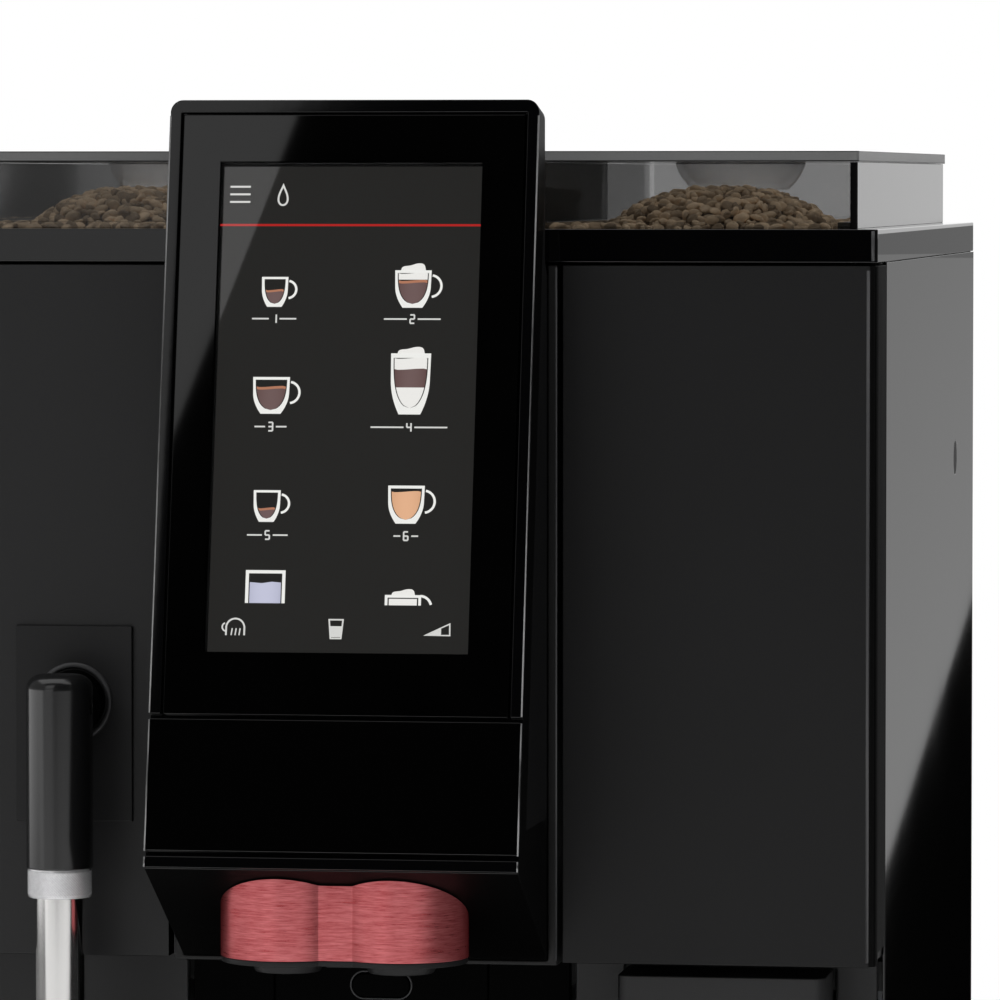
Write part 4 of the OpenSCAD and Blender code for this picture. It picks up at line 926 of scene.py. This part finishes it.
def add_button_rim(dim_highlight):
    """The oval welt round the release button, a slot form of two half circles; its lighter colour
    is a dim painted highlight.
    """
    around = 64
    turn = np.linspace(0, 2 * math.pi, around, endpoint=False)
    x = 5.7 * np.cos(turn) + np.sign(np.cos(turn)) * 7.0
    path = np.stack([x, np.full(around, -141.45), 316 + 5.7 * np.sin(turn)], -1)
    rim = welts("release_button_rim", [path], 0.4, (0, 1, 0), closed=True)
    add_part("release_button_rim", rim, dim_highlight, "spout_apron")


def machine_finishes():
    """The finishes of the machine by short names."""
    return {
        "matt": fine_grain("matt_black_panel", (0.0052, 0.0052, 0.0055), 0.45, specular=0.42),
        # The door's black is a darker copy of the panel's matt black, as painted shade, and its
        # outer return is painted black as shade.
        "door": fine_grain("matt_black_door_painted_shade", (0.003, 0.003, 0.0032), 0.45, part=door_return_shade),
        # The lower panels' and drawer's black is a lighter copy of the matt black, as painted
        # light.
        "low": fine_grain("matt_black_low_panel_painted_light", (0.0086, 0.0086, 0.0089), 0.45, specular=0.42),
        "soft": fine_grain("grained_black_moulding", (0.006, 0.006, 0.0063), 0.42, 0.03),
        "bar": fine_grain("satin_black_bar", grey(0.006), 0.32, 0.015),
        "gloss": polished("gloss_black_moulding", (0.0008, 0.0008, 0.0009), 0.05),
        "deck": polished("gloss_black_deck", (0.0008, 0.0008, 0.0009), 0.005, 0.5, 0.0006),
        "side": polished("gloss_black_side_paint", grey(0.002), 0.015, 0.5, 0.0008),
        # The dull black is the apron's moulding, and painted shade on the sideways faces of the
        # front panel and door.
        "dull": fine_grain("dull_black_moulding_and_side_shade", grey(0.0006), 0.6, 0.02, 0.03),
        # The display's sides: dull black, with painted shadow on the front 20 mm and on the chin.
        "head": fine_grain("dull_black_head_side_and_shadow", (0.0048, 0.0048, 0.005), 0.5, 0.02, 0.08,
                           head_side_shadow),
        # The lock's key slot is painted black as shade.
        "lock": fine_grain("black_lock_face", grey(0.004), 0.4, 0.01, 0.2, key_slot_shade_and_joint),
        "rocker": fine_grain("black_rocker", grey(0.006), 0.35, 0.01, 0.4,
                             rocker_marks, (0.6, 0.6, 0.58)),
        "grey": fine_grain("grey_powder_paint", (0.11, 0.112, 0.115), 0.55, 0.08),
        "sheet": zinc_sheet("galvanised_sheet"),
        "grip": polished("smooth_black_grip", (0.005, 0.005, 0.0052), 0.2, 0.75, 0.001),
        "rubber": fine_grain("rubber_foot", grey(0.008), 0.75, 0.1),
        "lid": clear_moulding("smoked_clear_lid", grey(0.05), 0.45, 1.0, milky=BOWL_TOP_Z),
        # The rim's corners are painted black as shade.
        "lid_edge": fine_grain("smoked_lid_rim", grey(0.1), 0.35, 0.01, 0.4, lid_rim_corner_shade),
        # Painted highlights: the finishes of the beads along the edges and rims.
        "dim_highlight": fine_grain("dim_highlight_bead", (0.028, 0.028, 0.029), 0.4, 0.005, 0.5),
        "bright_highlight": brushed_metal("bright_highlight_line", grey(0.2), grey(0.34),
                                (900, 900, 20), 0.4, 0.003),
        # The red's third colour is the painted shade where the cover turns away.
        "red": anodised("brushed_red_aluminium", (0.4, 0.05, 0.055), (0.72, 0.21, 0.22),
                        (0.26, 0.006, 0.01), (130, 130, 1900)),
        "steel": brushed_metal("ground_steel", (0.5, 0.5, 0.51), (0.68, 0.68, 0.69),
                               (700, 700, 12), 0.26, 0.01),
        "grid": brushed_metal("brushed_grid_steel", (0.42, 0.42, 0.43), (0.6, 0.6, 0.61),
                              (12, 900, 900), 0.3, 0.01),
        "knurl": brushed_metal("knurled_aluminium", (0.6, 0.6, 0.61), (0.8, 0.8, 0.81),
                               (3000, 3000, 3000), 0.22, 0.002, 0.7),
        "chrome": bright_metal("chrome_tube", (0.72, 0.71, 0.7), 0.09),
        "hopper": clear_moulding("smoked_clear_hopper", (0.006, 0.006, 0.0058), 0.36, 1.1,
                                 black_corners=(0.196, (-0.1385, 0.2685)), inner=0.0605),
        "glass": printed_glass("black_printed_glass", ((-0.0539, 0.0527), 0.0862, 0.2848)),
        "pane": polished("black_glass_pane", grey(0.0005), 0.015, 0.55, 0.001),
        # The dark end of the beans' ramp is also the painted shade in the gaps between them.
        "tan_beans": bean_skin("tan_roasted_beans", (0.055, 0.03, 0.016), (0.95, 0.72, 0.48)),
        "dark_beans": bean_skin("dark_roasted_beans", (0.002, 0.0015, 0.001), (0.01, 0.006, 0.004)),
        "cast": cast_metal("cast_alloy", (0.3, 0.3, 0.31)),
        "white": fine_grain("white_moulding", (0.7, 0.69, 0.66), 0.4, 0.02, 0.5),
        "brass": boiler_metal("brass_shell", (0.75, 0.52, 0.22), (0.6, 0.36, 0.16)),
        "copper": boiler_metal("copper_shell", (0.78, 0.36, 0.2), (0.52, 0.22, 0.14)),
        "board": circuit_board("green_board"),
        "frame": fine_grain("screen_frame", grey(0.006), 0.4)}


# CAD nodes that get rounded edges: their finish, the rounding in millimetres, and the nodes.
ROUNDED = (
    ("rubber", 0.6, "levelling_feet"), ("grey", 0.3, "rear_panel"),
    ("side", 0.4, "left_side_panel right_side_panel"), ("deck", 0.4, "top_cover"),
    ("bar", 0.6, "column_frame"), ("low", 0.6, "lower_left_panel lower_right_panel grounds_drawer"),
    ("dull", 0.5, "splash_back"), ("dull", 0.4, "spout_apron steam_knuckle"),
    ("dull", 0.8, "release_button"), ("glass", 0.15, "display_glass"), ("pane", 0.25, "lower_pane"),
    ("gloss", 0.25, "lip_strip"), ("soft", 0.3, "spout_carriage fan_rotor"),
    ("soft", 0.4, "spout_nozzles"), ("soft", 0.5, "steam_plate"), ("soft", 0.6, "drip_tray"),
    ("red", 0.35, "spout_cover"), ("grip", 0.3, "steam_grip"), ("chrome", 0.25, "steam_tube"),
    ("hopper", 0.3, "left_hopper right_hopper centre_hopper"), ("rocker", 0.4, "power_rocker"),
    ("cast", 0.8, "left_grinder right_grinder water_pump"), ("cast", 0.6, "brewer"),
    ("brass", 0.6, "coffee_boiler"), ("brass", 0.4, "service_fittings"),
    ("copper", 0.6, "steam_boiler"), ("white", 0.4, "mixer_bowl brew_piston"),
    ("lock", 0.3, "side_lock"))
# The same where the faces that a test picks have a second finish.
TWO_FINISHES = (
    # The display shell's sideways faces take the head finish with its painted shadow.
    ("gloss", 0.3, "display_shell", "head", sideways),
    # On the front panel and the door the sideways faces take the dull black as painted shade.
    ("matt", 0.5, "left_front_panel", "dull", sideways),
    ("door", 0.5, "right_door", "dull", sideways),
    ("lid", 0.25, "left_lid right_lid centre_lid", "lid_edge", lid_rim))
# CAD nodes that are shown by their own shapes.
PLAIN = (
    ("sheet", "chassis door_hinges"), ("grey", "base_pan"), ("grid", "drip_grid"),
    ("steel", "guide_rails left_gate right_gate left_burr right_burr"), ("frame", "lcd_module"),
    ("white", "whisk"), ("board", "control_board"))


def build_machine():
    """Dresses every CAD node and adds the new pieces."""
    finish = machine_finishes()
    for name, width, nodes in ROUNDED:
        for node in nodes.split():
            dress(node, finish[name], width)
    for name, width, nodes, other, test in TWO_FINISHES:
        for node in nodes.split():
            dress(node, finish[name], width, second=(finish[other], test))
    for name, nodes in PLAIN:
        for node in nodes.split():
            paint(node, finish[name])
    screen_depth = 5         # the screen lies this far behind the lip, under the glass
    for name, outlines, colour, height in screen_pictures():
        mesh = plates("screen_" + name, outlines, screen_depth - 0.02, screen_depth - height)
        lit = lit_screen("lit_" + name, colour, "drinks" in name or name == "water")
        add_piece("screen_" + name, mesh, lit, "machine", False)
    add_edge_lines(finish["bright_highlight"], finish["dim_highlight"])
    add_wand_parts(finish["knurl"], finish["dim_highlight"])
    add_rear_screws(finish["steel"])
    add_button_rim(finish["dim_highlight"])
    bean_heap("right_beans", finish["tan_beans"], mound, 7)
    bean_heap("left_beans", finish["tan_beans"], mound, 11)
    bean_heap("centre_beans", finish["dark_beans"], level_heap, 5)


# ---- Camera, lamps and stage (metres) ----

FRONT_Y, BACK_Y = -4.0, 2.0  # planes of the upright cards before and behind the machine
FLOOR_Z = 0.003              # floor cards lie just over the floor
GRADED_TO = 0.6              # a graded card changes up to this height


def add_camera():
    """A long lens in front of the machine and to its right, level with the lids."""
    lens = bpy.data.cameras.new("front_camera")
    lens.lens, lens.sensor_width = 247.836, 36
    lens.clip_start, lens.clip_end = 0.1, 80
    camera = put("front_camera", lens)
    camera.location = (0.4733, -2.9304, 0.6480)
    camera.rotation_euler = (math.radians(90 - 2.6644), 0, math.radians(8.6385))
    bpy.context.scene.camera = camera


def add_lamp(name, place, target, size, watts):
    """A square soft lamp at place, turned towards target; its mirror image is left to the cards."""
    light = bpy.data.lights.new(name, "AREA")
    light.shape, light.size, light.energy = "SQUARE", size, watts
    lamp = put(name, light)
    lamp.location = place
    lamp.rotation_euler = (Vector(target) - Vector(place)).to_track_quat("-Z", "Y").to_euler()
    lamp.visible_glossy = False


def add_card(name, corners, radiance, top=None):
    """A flat studio card that only mirror images show: a soft box, or a dark flag at radiance 0.
    With a top radiance it changes evenly from the floor up."""
    mesh = mesh_of(name, corners, [tuple(range(len(corners)))])
    card = put(name, mesh)
    material = bpy.data.materials.new(name)
    material.use_nodes = True
    material.node_tree.nodes.clear()
    graph = Graph(material.node_tree)
    tone = grey(radiance)
    if top is not None:
        tone = graph.node("ShaderNodeMapRange", {}, {
            "Value": graph.axes()[2], "From Max": GRADED_TO, "To Min": radiance, "To Max": top})
    light = graph.node("ShaderNodeEmission", {}, {"Color": tone})
    graph.node("ShaderNodeOutputMaterial", {}, {"Surface": light}, None)
    mesh.materials.append(material)
    card.visible_camera = card.visible_diffuse = card.visible_shadow = False
    card.visible_transmission = False


def add_lamps():
    """A key at the left, a low fill at the right and a lamp overhead."""
    add_lamp("key_lamp", (-2.2, -2.4, 2.6), (0, 0, 0.35), 1.6, 95)
    add_lamp("fill_lamp", (2.6, -1.8, 0.95), (0, 0, 0.3), 1.8, 40)
    add_lamp("top_lamp", (0.2, 0.3, 3.0), (0, 0, 0.4), 1.8, 45)


def add_cards():
    """What the gloss black mirrors: soft boxes, greys, and flags that keep it black."""
    for name, y, outline, *tones in (
            ("front_flag", FRONT_Y - 0.02, rectangle(-7, 7, 0, 8), 0.0),
            ("high_soft_box", FRONT_Y,
             [(-3.2, 1.7), (-0.94, 1.7), (-0.609, 2.8), (-0.5, 4.2), (-3.2, 4.2)], 0.75),
            ("low_soft_box", FRONT_Y, [(-3.2, 0.35), (-0.8, 0.35), (-0.8, 1.2), (-3.2, 1.3)], 0.75),
            ("left_low_grey", FRONT_Y, rectangle(-3.2, -0.8, 0.01, 0.35), 0.25),
            ("right_low_grey", FRONT_Y, rectangle(0.3, 3.6, 0.01, 0.35), 0.2),
            # Behind, seen in the right side: grey low, darker over the band's edge, then white.
            ("side_grey", BACK_Y, rectangle(0.3, 1.6, 0, 0.592), 0.36, 0.27),
            ("side_band_grey", BACK_Y,
             [(0.3, 0.592), (1.6, 0.592), (1.6, 0.609), (0.45, 0.609), (0.3, 0.6213)], 0.19),
            ("side_white", BACK_Y,
             [(0.3, 0.6213), (0.45, 0.609), (1.6, 0.609), (1.6, 0.69), (0.3, 0.69)], 0.7),
            ("side_flag", BACK_Y - 0.01,
             [(0.2, 0), (0.4603, 0), (0.412, 0.149), (0.35, 0.344), (0.2, 0.81)], 0.0)):
        add_card(name, [(x, y, z) for x, z in outline], *tones)
    for name, x, span, tone in (("left_soft_box", -3.55, (-3.6, 3.1, 0.01, 0.5), 1.6),
                                ("left_grey", -3.6, (-4, 5, 0, 4), 0.2),
                                ("right_grey", 3.6, (-4, 5, 0, 4), 0.05)):
        add_card(name, [(x, y, z) for y, z in rectangle(*span)], tone)
    for name, outline, tone in (
            ("left_floor_grey", [(-3.6, -1.9), (-0.6, -1.3), (-0.6, 3.5), (-3.6, 3.5)], 0.16),
            ("right_floor_grey", [(0.75, -1.6), (3.6, -1.9), (3.6, 3.5), (0.75, 3.5)], 0.02)):
        add_card(name, [(x, y, FLOOR_Z) for x, y in outline], tone)


def add_world():
    """White behind everything, and a softer white as light."""
    world = bpy.data.worlds.new("studio")
    bpy.context.scene.world = world
    world.use_nodes = True
    graph = Graph(world.node_tree)
    level = graph.node("ShaderNodeMapRange", {}, {
        "Value": graph.backdrop_rays(), "To Min": 0.55, "To Max": 1.0})
    background = world.node_tree.nodes["Background"]
    graph.set_socket(background.inputs["Color"], grey(1))
    graph.set_socket(background.inputs["Strength"], level)


def add_floor():
    """A round pale floor that runs out into the white backdrop."""
    ring = np.linspace(0, 2 * math.pi, 96, endpoint=False)
    radii = np.array([0.0001, 0.6, 1.2, 2, 4, 9])[:, None]
    points = np.stack([radii * np.cos(ring), radii * np.sin(ring), 0 * radii * ring], -1)
    mesh = grid_mesh("floor", points)
    floor = put("floor", mesh)
    finish = Finish("pale_floor", Roughness=0.7, Specular_IOR_Level=0.2)
    clouds = finish.noise(3, 2)
    finish.feed("Base Color", finish.blend(clouds, grey(0.80), grey(0.84)))
    x, y, _ = finish.axes()
    far = finish.node("ShaderNodeMapRange", {"interpolation_type": "SMOOTHSTEP"},
                      {"Value": (x * x + y * y) ** 0.5, "From Min": 0.9, "From Max": 1.8})
    white = finish.node("ShaderNodeEmission", {}, {"Color": grey(1), "Strength": 1.0})
    finish.shine_through(far * finish.backdrop_rays(), white)
    mesh.materials.append(finish.material)


add_camera()
add_lamps()
add_cards()
add_world()
add_floor()
build_machine()

bpy.context.scene.view_settings.view_transform = "Standard"
